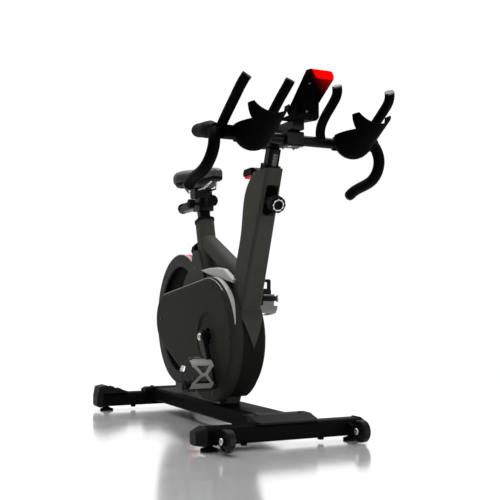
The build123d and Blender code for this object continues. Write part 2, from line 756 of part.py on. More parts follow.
def crank_half_turn(shape):
    """Carry a left-hand crank piece to the right-hand side, half a turn round."""
    flipped = mirror_y(shape)
    return Pos(CRANK_X, 0, CRANK_Z) * (Rotation(0, 180, 0) * (Pos(-CRANK_X, 0, -CRANK_Z) * flipped))


left_arm = crank_arm()
keep("crank_arms", group([left_arm, crank_half_turn(left_arm)]))
cap_left = bolt_y(CRANK_X, ARM_Y + ARM_T, CRANK_Z, 11, 4, 1)
crank_steel = [crank_axle, cap_left, bolt_y(CRANK_X, -ARM_Y - ARM_T, CRANK_Z, 11, 4, -1)]

SPINDLE_END = PEDAL_Y + PEDAL_HALF_W - 8


def spindle(side, x, z):
    lo = min(side * ARM_Y, side * SPINDLE_END)
    hi = max(side * ARM_Y, side * SPINDLE_END)
    rod = rod_y(x, z, SPINDLE_R, lo, hi)
    flange = sorted((side * (ARM_Y + ARM_T), side * (ARM_Y + ARM_T + 2)))
    return rod + rod_y(x, z, 10, flange[0], flange[1])


# Each pedal's side and the middle of its spindle.
PEDALS = {
    "right": (-1, CRANK_X + PEDAL_DX, CRANK_Z + PEDAL_DZ),
    "left": (1, CRANK_X - PEDAL_DX, CRANK_Z - PEDAL_DZ),
}


def pedal_body():
    """Platform round the origin: hub, two treads with teeth, and end walls."""
    body = rod_y(0, 0, 12.5, -PEDAL_HALF_W, PEDAL_HALF_W)
    for x in (-PEDAL_HALF_L + 5, PEDAL_HALF_L - 5):
        tread = block(x - 5, x + 5, -PEDAL_HALF_W + 3, PEDAL_HALF_W - 3, -10, 10)
        body += fillet(tread.edges().filter_by(Axis.Y), 3)
        for step in range(5):
            y = -32 + 16 * step
            body += block(x - 5, x + 5, y - 2.5, y + 2.5, -12.5, 12.5)
    for y in (-PEDAL_HALF_W + 3, PEDAL_HALF_W - 3):
        wall = block(-PEDAL_HALF_L + 3, PEDAL_HALF_L - 3, y - 3, y + 3, -9, 9)
        body += wall
    for y in (-16, 16):
        body += block(-PEDAL_HALF_L + 4, PEDAL_HALF_L - 4, y - 2, y + 2, -6, 6)
    return body - rod_y(0, 0, SPINDLE_R + RUN_GAP, -PEDAL_HALF_W, SPINDLE_END - PEDAL_Y + 1)


def toe_cage():
    """Bent cage over the toes, open at the sides, with two crossed ribs for its front."""
    front = PEDAL_HALF_L
    line = Spline((front, -4), (front + 26, 14), (front + 32, 44), (front + 2, 78))
    band = side_slab(trace(line, 3.0), -34, 34)
    top = side_slab(trace(Line((PEDAL_HALF_L + 2.2, 77.8), (8, 84)), 3.0), -20, 20)
    cage = band + top
    gap_below = outline((-24, 12), (24, 12), (5, 33), (-5, 33))
    gap_above = outline((-20, 64), (20, 64), (5, 43), (-5, 43))
    gap_right = outline((-40, 16), (-30, 16), (-11, 38), (-30, 60), (-40, 60))
    gap_left = outline((40, 16), (30, 16), (11, 38), (30, 60), (40, 60))
    for gap_face in (gap_below, gap_above, gap_right, gap_left):
        cage = cage - Pos(PEDAL_HALF_L + 4, 0, 0) * extrude(Plane.YZ * gap_face, amount=60)
    return cage - block(PEDAL_HALF_L - 40, PEDAL_HALF_L, -40, 40, -12, 12)


def toe_strap():
    """Closed strap loop across the pedal, drawn to a crown over the shoe."""
    half = PEDAL_HALF_W + 2
    arch = Spline((-half, -6), (-half - 2, 40), (-26, 82), (0, 89), (26, 82), (half + 2, 40), (half, -6))
    under = Polyline((-half, -6), (-half, -14.5), (half, -14.5), (half, -6))
    loop = extrude(Plane.YZ * trace(arch, 2.4), amount=STRAP_HALF, both=True)
    floor = extrude(Plane.YZ * trace(under, 2.4), amount=STRAP_HALF, both=True)
    return Pos(STRAP_X, 0, 0) * (loop + floor)


# The free left pedal hangs a quarter turn round with its strap loop ahead, as in the photograph.
cage_body = toe_cage()
strap_body = toe_strap()
platform = pedal_body()
for name, (side, x, z) in PEDALS.items():
    crank_steel.append(spindle(side, x, z))
    place = Pos(x, side * PEDAL_Y, z) * Rotation(0, 90 if side > 0 else 0, 0)
    keep("pedal_" + name, place * (platform if side > 0 else mirror_y(platform)))
    cage = cage_body - strap_body
    keep("toe_cage_" + name, place * cage)
    keep("toe_strap_" + name, place * (strap_body - platform))
keep("crank_axle_and_spindles", group(crank_steel))

rim_in = FLYWHEEL_R - FLYWHEEL_RIM
BAND_LO = -5.0
BAND_HI = 14.0
flywheel_profile = make_face(
    Polyline(
        (FLYWHEEL_AXLE_R, -24),
        (34, -24),
        (40, -FLYWHEEL_WEB),
        (rim_in - 6, -FLYWHEEL_WEB),
        (rim_in, -FLYWHEEL_HALF),
        (FLYWHEEL_R - 3, -FLYWHEEL_HALF),
        (FLYWHEEL_R, -FLYWHEEL_HALF + 3),
        (FLYWHEEL_R, BAND_LO),
        (FLYWHEEL_R - 2, BAND_LO),
        (FLYWHEEL_R - 2, BAND_HI),
        (FLYWHEEL_R, BAND_HI),
        (FLYWHEEL_R, FLYWHEEL_HALF - 3),
        (FLYWHEEL_R - 3, FLYWHEEL_HALF),
        (rim_in, FLYWHEEL_HALF),
        (rim_in - 6, FLYWHEEL_WEB),
        (40, FLYWHEEL_WEB),
        (34, 24),
        (FLYWHEEL_AXLE_R, 24),
        close=True,
    )
)
AT_FLYWHEEL = Pos(WHEEL_AXIS_X, 0, WHEEL_AXIS_Z)
keep("flywheel", AT_FLYWHEEL * revolve(flywheel_profile, Axis.Y))
band = rod_y(0, 0, FLYWHEEL_R, BAND_LO, BAND_HI) - rod_y(0, 0, FLYWHEEL_R - 2, BAND_LO, BAND_HI)
keep("flywheel_band", AT_FLYWHEEL * band)
shaft = rod_y(WHEEL_AXIS_X, WHEEL_AXIS_Z, FLYWHEEL_AXLE_R, PULLEY_Y, FRAME_HALF + STAY_T + 6)
small = rod_y(WHEEL_AXIS_X, WHEEL_AXIS_Z, SMALL_PULLEY_R, PULLEY_Y, PULLEY_Y + PULLEY_W)
keep("flywheel_shaft", shaft + small)
AT_AXIS = Pos(WHEEL_AXIS_X, WHEEL_AXIS_Z)


def brake_yoke():
    """Magnet carrier that straddles the flywheel's rim and hangs from a pin between the webs."""
    corners = [(400 * math.cos(math.radians(a)), 400 * math.sin(math.radians(a))) for a in YOKE_SECTOR]
    reach = outline((0, 0), *corners)
    cheek = (Circle(FLYWHEEL_R + 17) - Circle(FLYWHEEL_R - 40)) & reach
    bridge = (Circle(FLYWHEEL_R + 17) - Circle(FLYWHEEL_R + 12)) & reach
    turn = math.radians(37)
    neck_x = WHEEL_AXIS_X + (FLYWHEEL_R + 15) * math.cos(turn)
    neck_z = WHEEL_AXIS_Z + (FLYWHEEL_R + 15) * math.sin(turn)
    yoke = side_slab(AT_AXIS * bridge, -YOKE_IN - YOKE_T, YOKE_IN + YOKE_T)
    yoke += side_slab(AT_AXIS * cheek, YOKE_IN, YOKE_IN + YOKE_T)
    yoke += side_slab(AT_AXIS * cheek, -YOKE_IN - YOKE_T, -YOKE_IN)
    yoke += side_slab(belt_outline(YOKE_X, YOKE_Z, 10, neck_x, neck_z, 3), -14, 14)
    return yoke - rod_y(YOKE_X, YOKE_Z, YOKE_PIN_R + RUN_GAP, -14, 14)


keep("magnet_yoke", brake_yoke())
web_side = FRAME_HALF + STAY_T
steel_parts.append(rod_y(YOKE_X, YOKE_Z, YOKE_PIN_R, -web_side, web_side))

# Saddle group: sleeve, post, head, slider, clamp, rails, shell and cushion.
sleeve = prism(SEAT, SEAT_POST_D + 8, SEAT_POST_W + 8, 16, -SEAT_SLEEVE_IN, 0)
sleeve = sleeve + prism(SEAT, SEAT_TUBE_DEPTH + 4, 2 * FRAME_HALF + 4, 25, 0, 9)
gap = 2 * RUN_GAP
sleeve = sleeve - prism(SEAT, SEAT_POST_D + gap, SEAT_POST_W + gap, 12 + RUN_GAP, -SEAT_SLEEVE_IN, 9)
sleeve = sleeve - SEAT * Pos(-30, 0, -SEAT_KNOB_DOWN) * Rotation(0, 90, 0) * Cylinder(10, 30)
seat_sleeve = sleeve
seat_post = prism(SEAT, SEAT_POST_D, SEAT_POST_W, 12, -SEAT_POST_IN, SEAT_POST_OUT)

head_top = SEAT.from_local_coords(Vector(0, 0, SEAT_POST_OUT))
HEAD_X = head_top.X
RAIL_TOP = RAIL_Z + RAIL_H
head = block(HEAD_X - 36, HEAD_X + 36, -26, 26, RAIL_Z - 14, RAIL_TOP + 6)
head = fillet(head.edges().filter_by(Axis.Z), 8)
slot = RAIL_HALF + SLIDE_GAP
head = head - block(HEAD_X - 40, HEAD_X + 40, -slot, slot, RAIL_Z - SLIDE_GAP, RAIL_TOP + SLIDE_GAP)
head = head - block(HEAD_X - 40, HEAD_X + 40, -9, 9, RAIL_TOP, RAIL_TOP + 7)
head = head - rod_y(HEAD_X, RAIL_Z + RAIL_H / 2, 4.5 + RUN_GAP, -27, -15)
below = block(HEAD_X - 80, HEAD_X + 120, -40, 40, RAIL_Z - 300, RAIL_Z - SLIDE_GAP)
keep("seat_post", (seat_post & below) + head)

NECK_TOP = RAIL_TOP + 10
rail = block(RAIL_BACK, RAIL_FRONT, -RAIL_HALF, RAIL_HALF, RAIL_Z, RAIL_TOP)
rail = rail + block(RAIL_BACK, RAIL_FRONT, -8, 8, RAIL_TOP, NECK_TOP)
ends = []
for x, sign in ((RAIL_FRONT, 1), (RAIL_BACK, -1)):
    cap = rod_x(0, RAIL_Z + 15, 19, min(x, x + sign * 9), max(x, x + sign * 9))
    ends.append(fillet(cap.faces().sort_by(Axis.X)[-1 if sign > 0 else 0].edges(), 4))
keep("slider_end_caps", group(ends))

CLAMP_X = -118.0
SADDLE_WIRE_Z = NECK_TOP + 26
WIRE_Y = 22.0
WIRE_R = 3.5
clamp = block(CLAMP_X - 22, CLAMP_X + 22, -32, 32, NECK_TOP, NECK_TOP + 36)
clamp = fillet(clamp.edges().filter_by(Axis.X), 6)
for side in (-1, 1):
    clamp = clamp - rod_x(side * WIRE_Y, SADDLE_WIRE_Z, WIRE_R, CLAMP_X - 30, CLAMP_X + 30)
keep("saddle_slider", rail + clamp)

SHELL_Z = SADDLE_SEAM_Z - 9


def saddle_wire():
    line = FilletPolyline(
        (SADDLE_BACK + 231, 9, SHELL_Z),
        (SADDLE_BACK + 195, WIRE_Y, SADDLE_WIRE_Z),
        (SADDLE_BACK + 53, WIRE_Y, SADDLE_WIRE_Z),
        (SADDLE_BACK + 31, WIRE_Y + 8, SHELL_Z),
        radius=8,
    )
    section = Plane(origin=line @ 0, z_dir=line % 0) * Circle(WIRE_R)
    wire = sweep(section, path=line)
    return wire - block(-400, 100, -90, 90, SHELL_Z, SHELL_Z + 30)


keep("saddle_rails", both(saddle_wire()))

# Half width of the saddle along its length, from the tail to the nose.
SADDLE_TAIL = ((0.0, 0.50), (0.1, 0.88), (0.26, 1.0))
SADDLE_NOSE = ((0.46, 0.72), (0.68, 0.42), (0.88, 0.32), (1.0, 0.21))
SADDLE_STATIONS = SADDLE_TAIL + SADDLE_NOSE


def saddle_section(share, half, top, low):
    """Crowned section: a hollow down the middle, full cheeks and sides drawn in to the seam."""
    x = SADDLE_BACK + share * SADDLE_LENGTH
    dip = 5.0 if 0.05 < share < 0.9 else 2.0
    curve = Spline(
        (0, top - dip),
        (half * 0.48, top),
        (half * 0.91, top - (top - low) * 0.20),
        (half, top - (top - low) * 0.55),
        (half * 0.93, low),
    )
    other = Spline(
        (-half * 0.93, low),
        (-half, top - (top - low) * 0.55),
        (-half * 0.91, top - (top - low) * 0.20),
        (-half * 0.48, top),
        (0, top - dip),
    )
    base = Line((half * 0.93, low), (-half * 0.93, low))
    return Pos(x, 0, 0) * (Plane.YZ * make_face([curve, base, other]))


sections = []
for share, width in SADDLE_STATIONS:
    drop = 13.0 * max(0.0, share - 0.3)
    end = 8.0 if share in (0.0, 1.0) else 0.0
    sections.append(saddle_section(share, width * SADDLE_HALF, SADDLE_TOP - drop - end, SADDLE_SEAM_Z))
keep("saddle_cushion", loft(Sketch() + sections))

shell_sections = []
for share, width in SADDLE_STATIONS:
    x = SADDLE_BACK + share * SADDLE_LENGTH
    half = width * SADDLE_HALF * 0.90
    low = half * 0.88
    shape = outline((-half, SADDLE_SEAM_Z), (-low, SHELL_Z), (low, SHELL_Z), (half, SADDLE_SEAM_Z))
    shell_sections.append(Pos(x, 0, 0) * (Plane.YZ * shape))
keep("saddle_shell", loft(Sketch() + shell_sections))


def pull_knob(plane, out, down, start, sign, reach, radius):
    """Knob, stem and locating pin along a tube's local X, sign gives front or rear."""
    base = plane * Pos(sign * start, 0, -down) * Rotation(0, 90 * sign, 0)
    pin = base * Cylinder(5, out - start, align=(Align.CENTER, Align.CENTER, Align.MIN))
    grip = base * Pos(0, 0, out - start) * knob(radius, reach, 10)
    return pin + grip


def pull_boss(plane, down, start, out, sign, radius):
    base = plane * Pos(sign * start, 0, -down) * Rotation(0, 90 * sign, 0)
    ring = base * Cylinder(radius, out - start, align=(Align.CENTER, Align.CENTER, Align.MIN))
    return ring - base * Cylinder(5 + RUN_GAP, out - start, align=(Align.CENTER, Align.CENTER, Align.MIN))


seat_in = SEAT_POST_D / 2 + 1
bosses = [pull_boss(SEAT, SEAT_KNOB_DOWN, seat_in, SEAT_TUBE_DEPTH / 2 + 24, -1, 10)]
keep("seat_knob", pull_knob(SEAT, SEAT_TUBE_DEPTH / 2 + 26, SEAT_KNOB_DOWN, seat_in, -1, 30, 24))

HEAD_KNOB_Y = 26.0


def side_knob(x, z, y, radius, length):
    """Clamp knob on the right of a slider head, with its screw into the head wall."""
    stem = rod_y(x, z, 4.5, -y - 9, -y + 7)
    grip = Pos(x, -y - 9, z) * (Rotation(90, 0, 0) * knob(radius, length, 8))
    return stem + grip


keep("saddle_slider_knob", side_knob(HEAD_X, RAIL_Z + RAIL_H / 2, HEAD_KNOB_Y, 15, 20))

# Handlebar group: sleeve, post, head, stem slider, crossbar, drops, aero bars, cups and console.
sleeve = prism(POST, BAR_POST_D + 8, BAR_POST_W + 8, 12, -SLEEVE_IN, 2)
sleeve = sleeve + prism(POST, BAR_POST_D + 14, 2 * COLUMN_TOP_HALF - 4, 14, -16, 8)
sleeve = sleeve - column + barrel
sleeve = sleeve - prism(POST, BAR_POST_D + gap, BAR_POST_W + gap, 9 + RUN_GAP, -SLEEVE_IN, 12)
sleeve = sleeve - POST * Pos(BAR_POST_D / 2, 0, -KNOB_DOWN) * Rotation(0, 90, 0) * Cylinder(
    13, KNOB_FACE, align=(Align.CENTER, Align.CENTER, Align.MIN)
)
keep("post_sleeves", group([seat_sleeve, sleeve]))
bar_post = prism(POST, BAR_POST_D, BAR_POST_W, 9, -BAR_POST_IN, BAR_POST_OUT)
SCALE = POST * Pos(BAR_POST_D / 2 - 0.75, 0, -2) * Box(1.5, 14, 92)
keep("bar_post_scale", SCALE)

bar_in = BAR_POST_D / 2 + 1
bosses.append(pull_boss(POST, KNOB_DOWN, bar_in, KNOB_FACE + 4, 1, 13))
steel_parts += bosses
knob_body = pull_knob(POST, KNOB_FACE + 7, KNOB_DOWN, bar_in, 1, 26, 25)
ring_seat = POST * Pos(KNOB_FACE + 7 + 26, 0, -KNOB_DOWN) * Rotation(0, 90, 0)
ring = ring_seat * (Cylinder(19, 5) - Cylinder(13, 5))
keep("bar_knob", knob_body - ring)
keep("bar_knob_ring", ring)

post_top = POST.from_local_coords(Vector(0, 0, BAR_POST_OUT))
STEM_X = post_top.X
BAR_RAIL_TOP = BAR_RAIL_Z + BAR_RAIL_H
head = block(STEM_X - 32, STEM_X + 30, -28, 28, BAR_RAIL_Z - 26, BAR_RAIL_TOP + 11)
head = fillet(head.edges().filter_by(Axis.X), 9)
head = head - block(
    STEM_X - 40,
    STEM_X + 40,
    -BAR_RAIL_HALF - SLIDE_GAP,
    BAR_RAIL_HALF + SLIDE_GAP,
    BAR_RAIL_Z - SLIDE_GAP,
    BAR_RAIL_TOP + SLIDE_GAP,
)
head = head - prism(POST, BAR_POST_D, BAR_POST_W, 9, 0, BAR_POST_OUT)
stem_knob = side_knob(STEM_X, BAR_RAIL_Z + 14, 28, 16, 22)
head = head - rod_y(STEM_X, BAR_RAIL_Z + 14, 4.5 + RUN_GAP, -29, -17)
low = block(STEM_X - 300, STEM_X + 200, -60, 60, BAR_RAIL_Z - 500, BAR_RAIL_Z - SLIDE_GAP)
keep("bar_post", ((bar_post & low) + head) - SCALE)
keep("bar_slider_knob", stem_knob)

bar_rail = block(BAR_RAIL_BACK, BAR_RAIL_FRONT, -BAR_RAIL_HALF, BAR_RAIL_HALF, BAR_RAIL_Z, BAR_RAIL_TOP)
bar_rail = fillet(bar_rail.edges().filter_by(Axis.X), 4)
stem = block(CROSSBAR_X - 25, CROSSBAR_X + 25, -26, 26, CROSSBAR_Z - 21, BAR_RAIL_Z)
stem = fillet(stem.edges().filter_by(Axis.Y), 7)
crossbar = rod_y(CROSSBAR_X, CROSSBAR_Z, CROSSBAR_R, -CROSSBAR_HALF, CROSSBAR_HALF)
keep("bar_slider", bar_rail + stem - crossbar)
keep("crossbar", crossbar)
stem_bolts = []
for y in (-17, 17):
    for x in (CROSSBAR_X - 19, CROSSBAR_X + 19):
        head_bolt = Rotation(180, 0, 0) * bolt_z(0, 0, 0, 4, 4)
        stem_bolts.append(Pos(x, y, CROSSBAR_Z - 21) * head_bolt)
keep("stem_bolts", group(stem_bolts))

drop_line = (
    (CROSSBAR_X - 25, 246, 857),
    (CROSSBAR_X + 38, 250, 836),
    (CROSSBAR_X + 49, 256, 796),
    (CROSSBAR_X + 21, 261, 757),
    (CROSSBAR_X - 40, 262, 737),
    (CROSSBAR_X - 113, 260, 718),
)


def hand_pod():
    """Turned hood on the crossbar's end: a blunt tip behind, full in the middle, drawn in to the drop."""
    edge = Spline((7, 0), (14, 10), (20, 52), (POD_R, 100), (DROP_R, POD_LENGTH))
    axis = Polyline((DROP_R, POD_LENGTH), (0, POD_LENGTH), (0, 0), (7, 0))
    turned = revolve(Plane.XZ * make_face([edge, axis]), Axis.Z)
    return Plane(origin=POD_TIP, z_dir=(0.988, 0.01, -0.153)) * turned


drop = swept_tube(drop_line, DROP_R) + hand_pod()
drop = drop - crossbar
keep("drop_bars", both(drop))
plug = Plane(origin=drop_line[-1], z_dir=(-0.97, 0, -0.25)) * Cylinder(
    DROP_R - 0.5, 5, align=(Align.CENTER, Align.CENTER, Align.MIN)
)
plug = plug - drop
plug = plug.solids().sort_by(SortBy.VOLUME)[-1]


def ahead(*points):
    """Points of a bar, each given by its distance ahead of the crossbar."""
    return tuple((CROSSBAR_X + x, y, z) for x, y, z in points)


outer_line = ahead((0, 222, 845), (55, 224, 880), (123, 224, 924), (153, 221, 948), (163, 215, 962))
inner_line = ahead(
    (0, 98, 845), (7, 88, 872), (40, 81, 903), (95, 80, 940), (117, 77, 958), (125, 72, 972)
)


def bar_tip(line):
    """Pale end plug on the last length of a bar."""
    path = Spline(*line)
    return Plane(origin=path @ 1, z_dir=path % 1) * Cylinder(
        HORN_R, 4, align=(Align.CENTER, Align.CENTER, Align.MIN)
    )


outer_horn = swept_tube(outer_line, HORN_R) - crossbar - drop
outer_horn = outer_horn.solids().sort_by(SortBy.VOLUME)[-1]
inner_horn = swept_tube(inner_line, HORN_R) - crossbar
inner_horn = inner_horn.solids().sort_by(SortBy.VOLUME)[-1]
horns = [outer_horn, inner_horn]
keep("aero_bars", group(horns + [mirror_y(horn) for horn in horns]))
tips = [bar_tip(outer_line), bar_tip(inner_line), plug]
keep("bar_end_plugs", group(tips + [mirror_y(tip) for tip in tips]))

tilt = math.radians(GRIP_TILT)
CUP = Plane(
    origin=(CUP_X, CUP_Y, CUP_Z),
    x_dir=(math.sin(tilt), 0, -math.cos(tilt)),
    z_dir=(math.cos(tilt), 0, math.sin(tilt)),
)


def cup_solid(radius, length):
    """Round-bottomed cylinder along the cup's slanted axis."""
    wall = CUP * Cylinder(radius, length, align=(Align.CENTER, Align.CENTER, Align.MIN))
    return wall + CUP * Sphere(radius)


def bottle_cup():
    """Bucket with a low side towards the rider and a collar ahead whose corners rise to two horns."""
    shell = cup_solid(CUP_R, CUP_LENGTH) - cup_solid(CUP_R - CUP_WALL, CUP_LENGTH + 20)
    shell = shell - block(CUP_X, CUP_X + 260, CUP_Y - 90, CUP_Y + 90, CUP_HORN_Z, CUP_HORN_Z + 160)
    shell = shell - block(CUP_X - 120, CUP_COLLAR_X, CUP_Y - 90, CUP_Y + 90, CUP_SIDE_Z, CUP_HORN_Z + 160)
    shell = shell - CUP * Pos(0, 0, -CUP_R) * Cylinder(6, 20)
    return shell.solids().sort_by(SortBy.VOLUME)[-1]


cup_outer = cup_solid(CUP_R, CUP_LENGTH)
arm_face = outline((CROSSBAR_X, CROSSBAR_Z + 20), (CUP_X, 857), (CUP_X, 824), (CROSSBAR_X, CROSSBAR_Z - 20))
arm_face = arm_face + Pos(CROSSBAR_X, CROSSBAR_Z) * Circle(20)
cup_arm = side_slab(arm_face, CUP_Y - 18, CUP_Y + 18)
bridge = block(CROSSBAR_X + 21, CUP_X - 6, CUP_Y + 30, 228, 824, 856)
bridge = fillet(bridge.edges().filter_by(Axis.Y), 9)
holder = bottle_cup() + (cup_arm - cup_outer) + (bridge - cup_outer)
holder = holder - crossbar - drop - outer_horn - inner_horn
keep("bottle_cups", both(holder.solids().sort_by(SortBy.VOLUME)[-1]))

CONSOLE = Plane(
    origin=(CONSOLE_X, 0, CONSOLE_Z),
    x_dir=(math.cos(tilt), 0, math.sin(tilt)),
    z_dir=(-math.sin(tilt), 0, math.cos(tilt)),
)


def console_slice(at, thick, half):
    place = CONSOLE * Pos(at, 0, thick / 2) * Rotation(0, 90, 0)
    return place * RectangleRounded(thick, 2 * half, 6)


low_end = console_slice(0, 18, CONSOLE_HALF - 4)
high_end = console_slice(CONSOLE_LENGTH, 28, CONSOLE_HALF)
console = loft(Sketch() + [low_end, high_end])
screen = CONSOLE * Pos(CONSOLE_LENGTH / 2 + 4, 0, 22.8) * Rotation(0, -4.03, 0) * Box(112, 62, 1.6)
keep("console_housing", console - screen)
keep("console_screen", screen)
lens = loft(
    Sketch()
    + [
        console_slice(CONSOLE_LENGTH, 28, CONSOLE_HALF),
        console_slice(CONSOLE_LENGTH + LENS_LENGTH, 22, CONSOLE_HALF - 5),
    ]
)
keep("console_lens", lens)

slope = math.tan(tilt)
MOUNT_FRONT = CONSOLE_X + 58
mount_face = outline(
    (BAR_RAIL_FRONT - 35, BAR_RAIL_TOP),
    (BAR_RAIL_FRONT + 40, BAR_RAIL_TOP - 8),
    (MOUNT_FRONT, BAR_RAIL_TOP + 3),
    (MOUNT_FRONT, CONSOLE_Z + slope * (MOUNT_FRONT - CONSOLE_X)),
    (CONSOLE_X + 2, CONSOLE_Z + slope * 2),
    (BAR_RAIL_FRONT - 35, BAR_RAIL_TOP + 7),
)
mount = side_slab(mount_face, -34, 34)
front_rim = [e for e in mount.edges() if abs(e.center().X - MOUNT_FRONT) < 0.5 and abs(e.center().Y) > 30]
mount = fillet(front_rim, 16)
mount = mount - made["bar_slider"]
mount = mount - console
keep("console_mount", mount.solids().sort_by(SortBy.VOLUME)[-1])

# Resistance lever on the column's shoulder: push down to brake, lift to add load.
pin = rod_y(LEVER_X, LEVER_Z, LEVER_PIN_R, -COLUMN_TOP_HALF, COLUMN_TOP_HALF)
steel_parts.append(pin)
keep("bolts_and_pins", group(steel_parts))
paddle_face = outline(
    (LEVER_X, LEVER_Z + 8),
    (LEVER_X, LEVER_Z - 8),
    (LEVER_X - 34, LEVER_Z + 4),
    (LEVER_X - 88, LEVER_Z + 2),
    (LEVER_X - 94, LEVER_Z + 12),
    (LEVER_X - 86, LEVER_Z + 24),
    (LEVER_X - 36, LEVER_Z + 25),
)
hub = side_slab(Sketch() + Pos(LEVER_X, LEVER_Z) * Circle(8.5), -12.4, 12.4)
stalk = side_slab(paddle_face, -12.4, 12.4)
wide = side_slab(paddle_face, -LEVER_HALF, LEVER_HALF) - block(LEVER_X - 36, LEVER_X + 40, -40, 40, 700, 900)
wide = fillet(wide.edges().filter_by(Axis.Y), 3)
paddle = stalk + hub + wide - rod_y(LEVER_X, LEVER_Z, LEVER_PIN_R + RUN_GAP, -13, 13)
pad_face = outline(
    (LEVER_X - 40, LEVER_Z - 3.0),
    (LEVER_X - 40, LEVER_Z + 6.0),
    (LEVER_X - 84, LEVER_Z + 5.0),
    (LEVER_X - 84, LEVER_Z - 4.0),
)
pad = side_slab(pad_face, -LEVER_HALF + 2, LEVER_HALF - 2)
keep("brake_lever", paddle - pad)
keep("brake_lever_pad", pad)

for name, shape in made.items():
    moved = Pos(-ORIGIN_X, 0, 0) * shape
    moved.label = name
    export_step(moved, "parts/" + name + ".step")
print(len(made), "pieces")
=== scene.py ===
# %% [markdown]
# An indoor cycling bike, dressed for the studio. The rigid pieces come from the CAD model with their
# sizes and places fixed. This lesson gives them finishes, makes the padded saddle, adds small sewn and
# moulded details, and sets up the light and the camera.

# %% Load the CAD frame
import json
import math

import bmesh
import bpy
from mathutils import Matrix, Vector


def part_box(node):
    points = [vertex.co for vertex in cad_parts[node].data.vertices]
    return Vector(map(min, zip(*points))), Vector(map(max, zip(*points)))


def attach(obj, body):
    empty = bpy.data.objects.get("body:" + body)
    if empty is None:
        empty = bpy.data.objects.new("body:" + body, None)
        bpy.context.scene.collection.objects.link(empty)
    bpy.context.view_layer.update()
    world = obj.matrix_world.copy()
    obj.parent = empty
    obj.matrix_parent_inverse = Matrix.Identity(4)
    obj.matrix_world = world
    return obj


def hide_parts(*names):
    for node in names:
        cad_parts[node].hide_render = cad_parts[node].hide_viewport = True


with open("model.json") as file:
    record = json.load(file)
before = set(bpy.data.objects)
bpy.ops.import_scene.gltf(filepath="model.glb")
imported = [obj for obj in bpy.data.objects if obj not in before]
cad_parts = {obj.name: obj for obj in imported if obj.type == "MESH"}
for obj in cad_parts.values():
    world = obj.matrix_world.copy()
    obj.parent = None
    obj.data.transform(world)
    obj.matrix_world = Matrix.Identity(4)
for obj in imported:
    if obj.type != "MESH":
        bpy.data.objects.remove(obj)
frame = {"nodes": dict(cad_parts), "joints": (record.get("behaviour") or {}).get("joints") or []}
cad = frame["nodes"]
joints = {joint["name"]: joint for joint in frame["joints"]}
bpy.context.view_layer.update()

# %% [markdown]
# A few steps come back all through the lesson. An object is made and linked to the scene, a bmesh becomes
# a mesh, edges are rounded, and node trees stretch a range of values or do one step of vector maths.

# %% Shared helpers
scene = bpy.context.scene


def linked(name, data):
    """A new object in the scene."""
    made = bpy.data.objects.new(name, data)
    scene.collection.objects.link(made)
    return made


def mesh_from(mesh, name):
    """A mesh made from a bmesh, which is then freed."""
    data = bpy.data.meshes.new(name)
    mesh.to_mesh(data)
    mesh.free()
    return data


def round_edges(mesh, edges, radius, segments):
    """Bevel some edges of a bmesh into rounds."""
    bmesh.ops.bevel(
        mesh, geom=edges, offset=radius, segments=segments, profile=0.5, affect="EDGES", material=-1
    )


def remap(tree, value, source, target, smooth=False):
    """A value's source range stretched to a target range, with soft ends if smooth."""
    node = tree.nodes.new("ShaderNodeMapRange")
    if smooth:
        node.interpolation_type = "SMOOTHSTEP"
    node.inputs["From Min"].default_value = source[0]
    node.inputs["From Max"].default_value = source[1]
    node.inputs["To Min"].default_value = target[0]
    node.inputs["To Max"].default_value = target[1]
    tree.links.new(value, node.inputs["Value"])
    return node.outputs["Result"]


def vector_step(tree, operation, vector, constant):
    """A node that joins a vector and a constant one, by SUBTRACT, MULTIPLY or DOT_PRODUCT."""
    node = tree.nodes.new("ShaderNodeVectorMath")
    node.operation = operation
    node.inputs[1].default_value = constant
    tree.links.new(vector, node.inputs[0])
    return node


# %% [markdown]
# The photograph was taken from the front right, a little lower than the saddle, with a long lens. The
# lens comes from the picture's vanishing points: 852 pixels of focal length across a 500 pixel frame.

# %% Camera
FOCAL_PIXELS = 852.0
PICTURE_PIXELS = 500.0
SENSOR_MM = 36.0
CAMERA_AT = (2.4983, -1.110, 0.387)
YAW = math.radians(25.45)
PITCH = math.radians(3.7)

toward = Vector((-math.cos(YAW) * math.cos(PITCH), math.sin(YAW) * math.cos(PITCH), math.sin(PITCH)))
camera_data = bpy.data.cameras.new("studio_camera")
camera_data.sensor_width = SENSOR_MM
camera_data.lens = SENSOR_MM * FOCAL_PIXELS / PICTURE_PIXELS
camera = linked("studio_camera", camera_data)
camera.location = CAMERA_AT
camera.rotation_euler = toward.to_track_quat("-Z", "Y").to_euler()
scene.camera = camera
print("camera lens", round(camera_data.lens, 1), "mm")

# %% [markdown]
# The studio is a pale floor and a white backdrop that dims towards the camera's side of the room. A black
# bike against white keeps its deep tones that way: what it mirrors from the front is darker than what
# lies behind. Large soft panels then draw the bright edges along tubes and covers.

# %% Studio
SKY_LIFT = 0.25
SKY_SPAN = (-0.3, 0.75)
SKY_STRENGTH = (0.22, 1.02)
FLOOR_R = 2.1

scene.view_settings.view_transform = "Standard"
world = bpy.data.worlds.new("white_backdrop")
scene.world = world
world.use_nodes = True
sky = world.node_tree
sky_place = sky.nodes.new("ShaderNodeTexCoord")
backdrop_side = (-math.cos(YAW), math.sin(YAW), SKY_LIFT)
sky_facing = vector_step(sky, "DOT_PRODUCT", sky_place.outputs["Generated"], backdrop_side)
sky_fade = remap(sky, sky_facing.outputs["Value"], SKY_SPAN, SKY_STRENGTH, smooth=True)
sky.links.new(sky_fade, sky.nodes["Background"].inputs["Strength"])
sky.nodes["Background"].inputs["Color"].default_value = (1.0, 1.0, 1.0, 1.0)


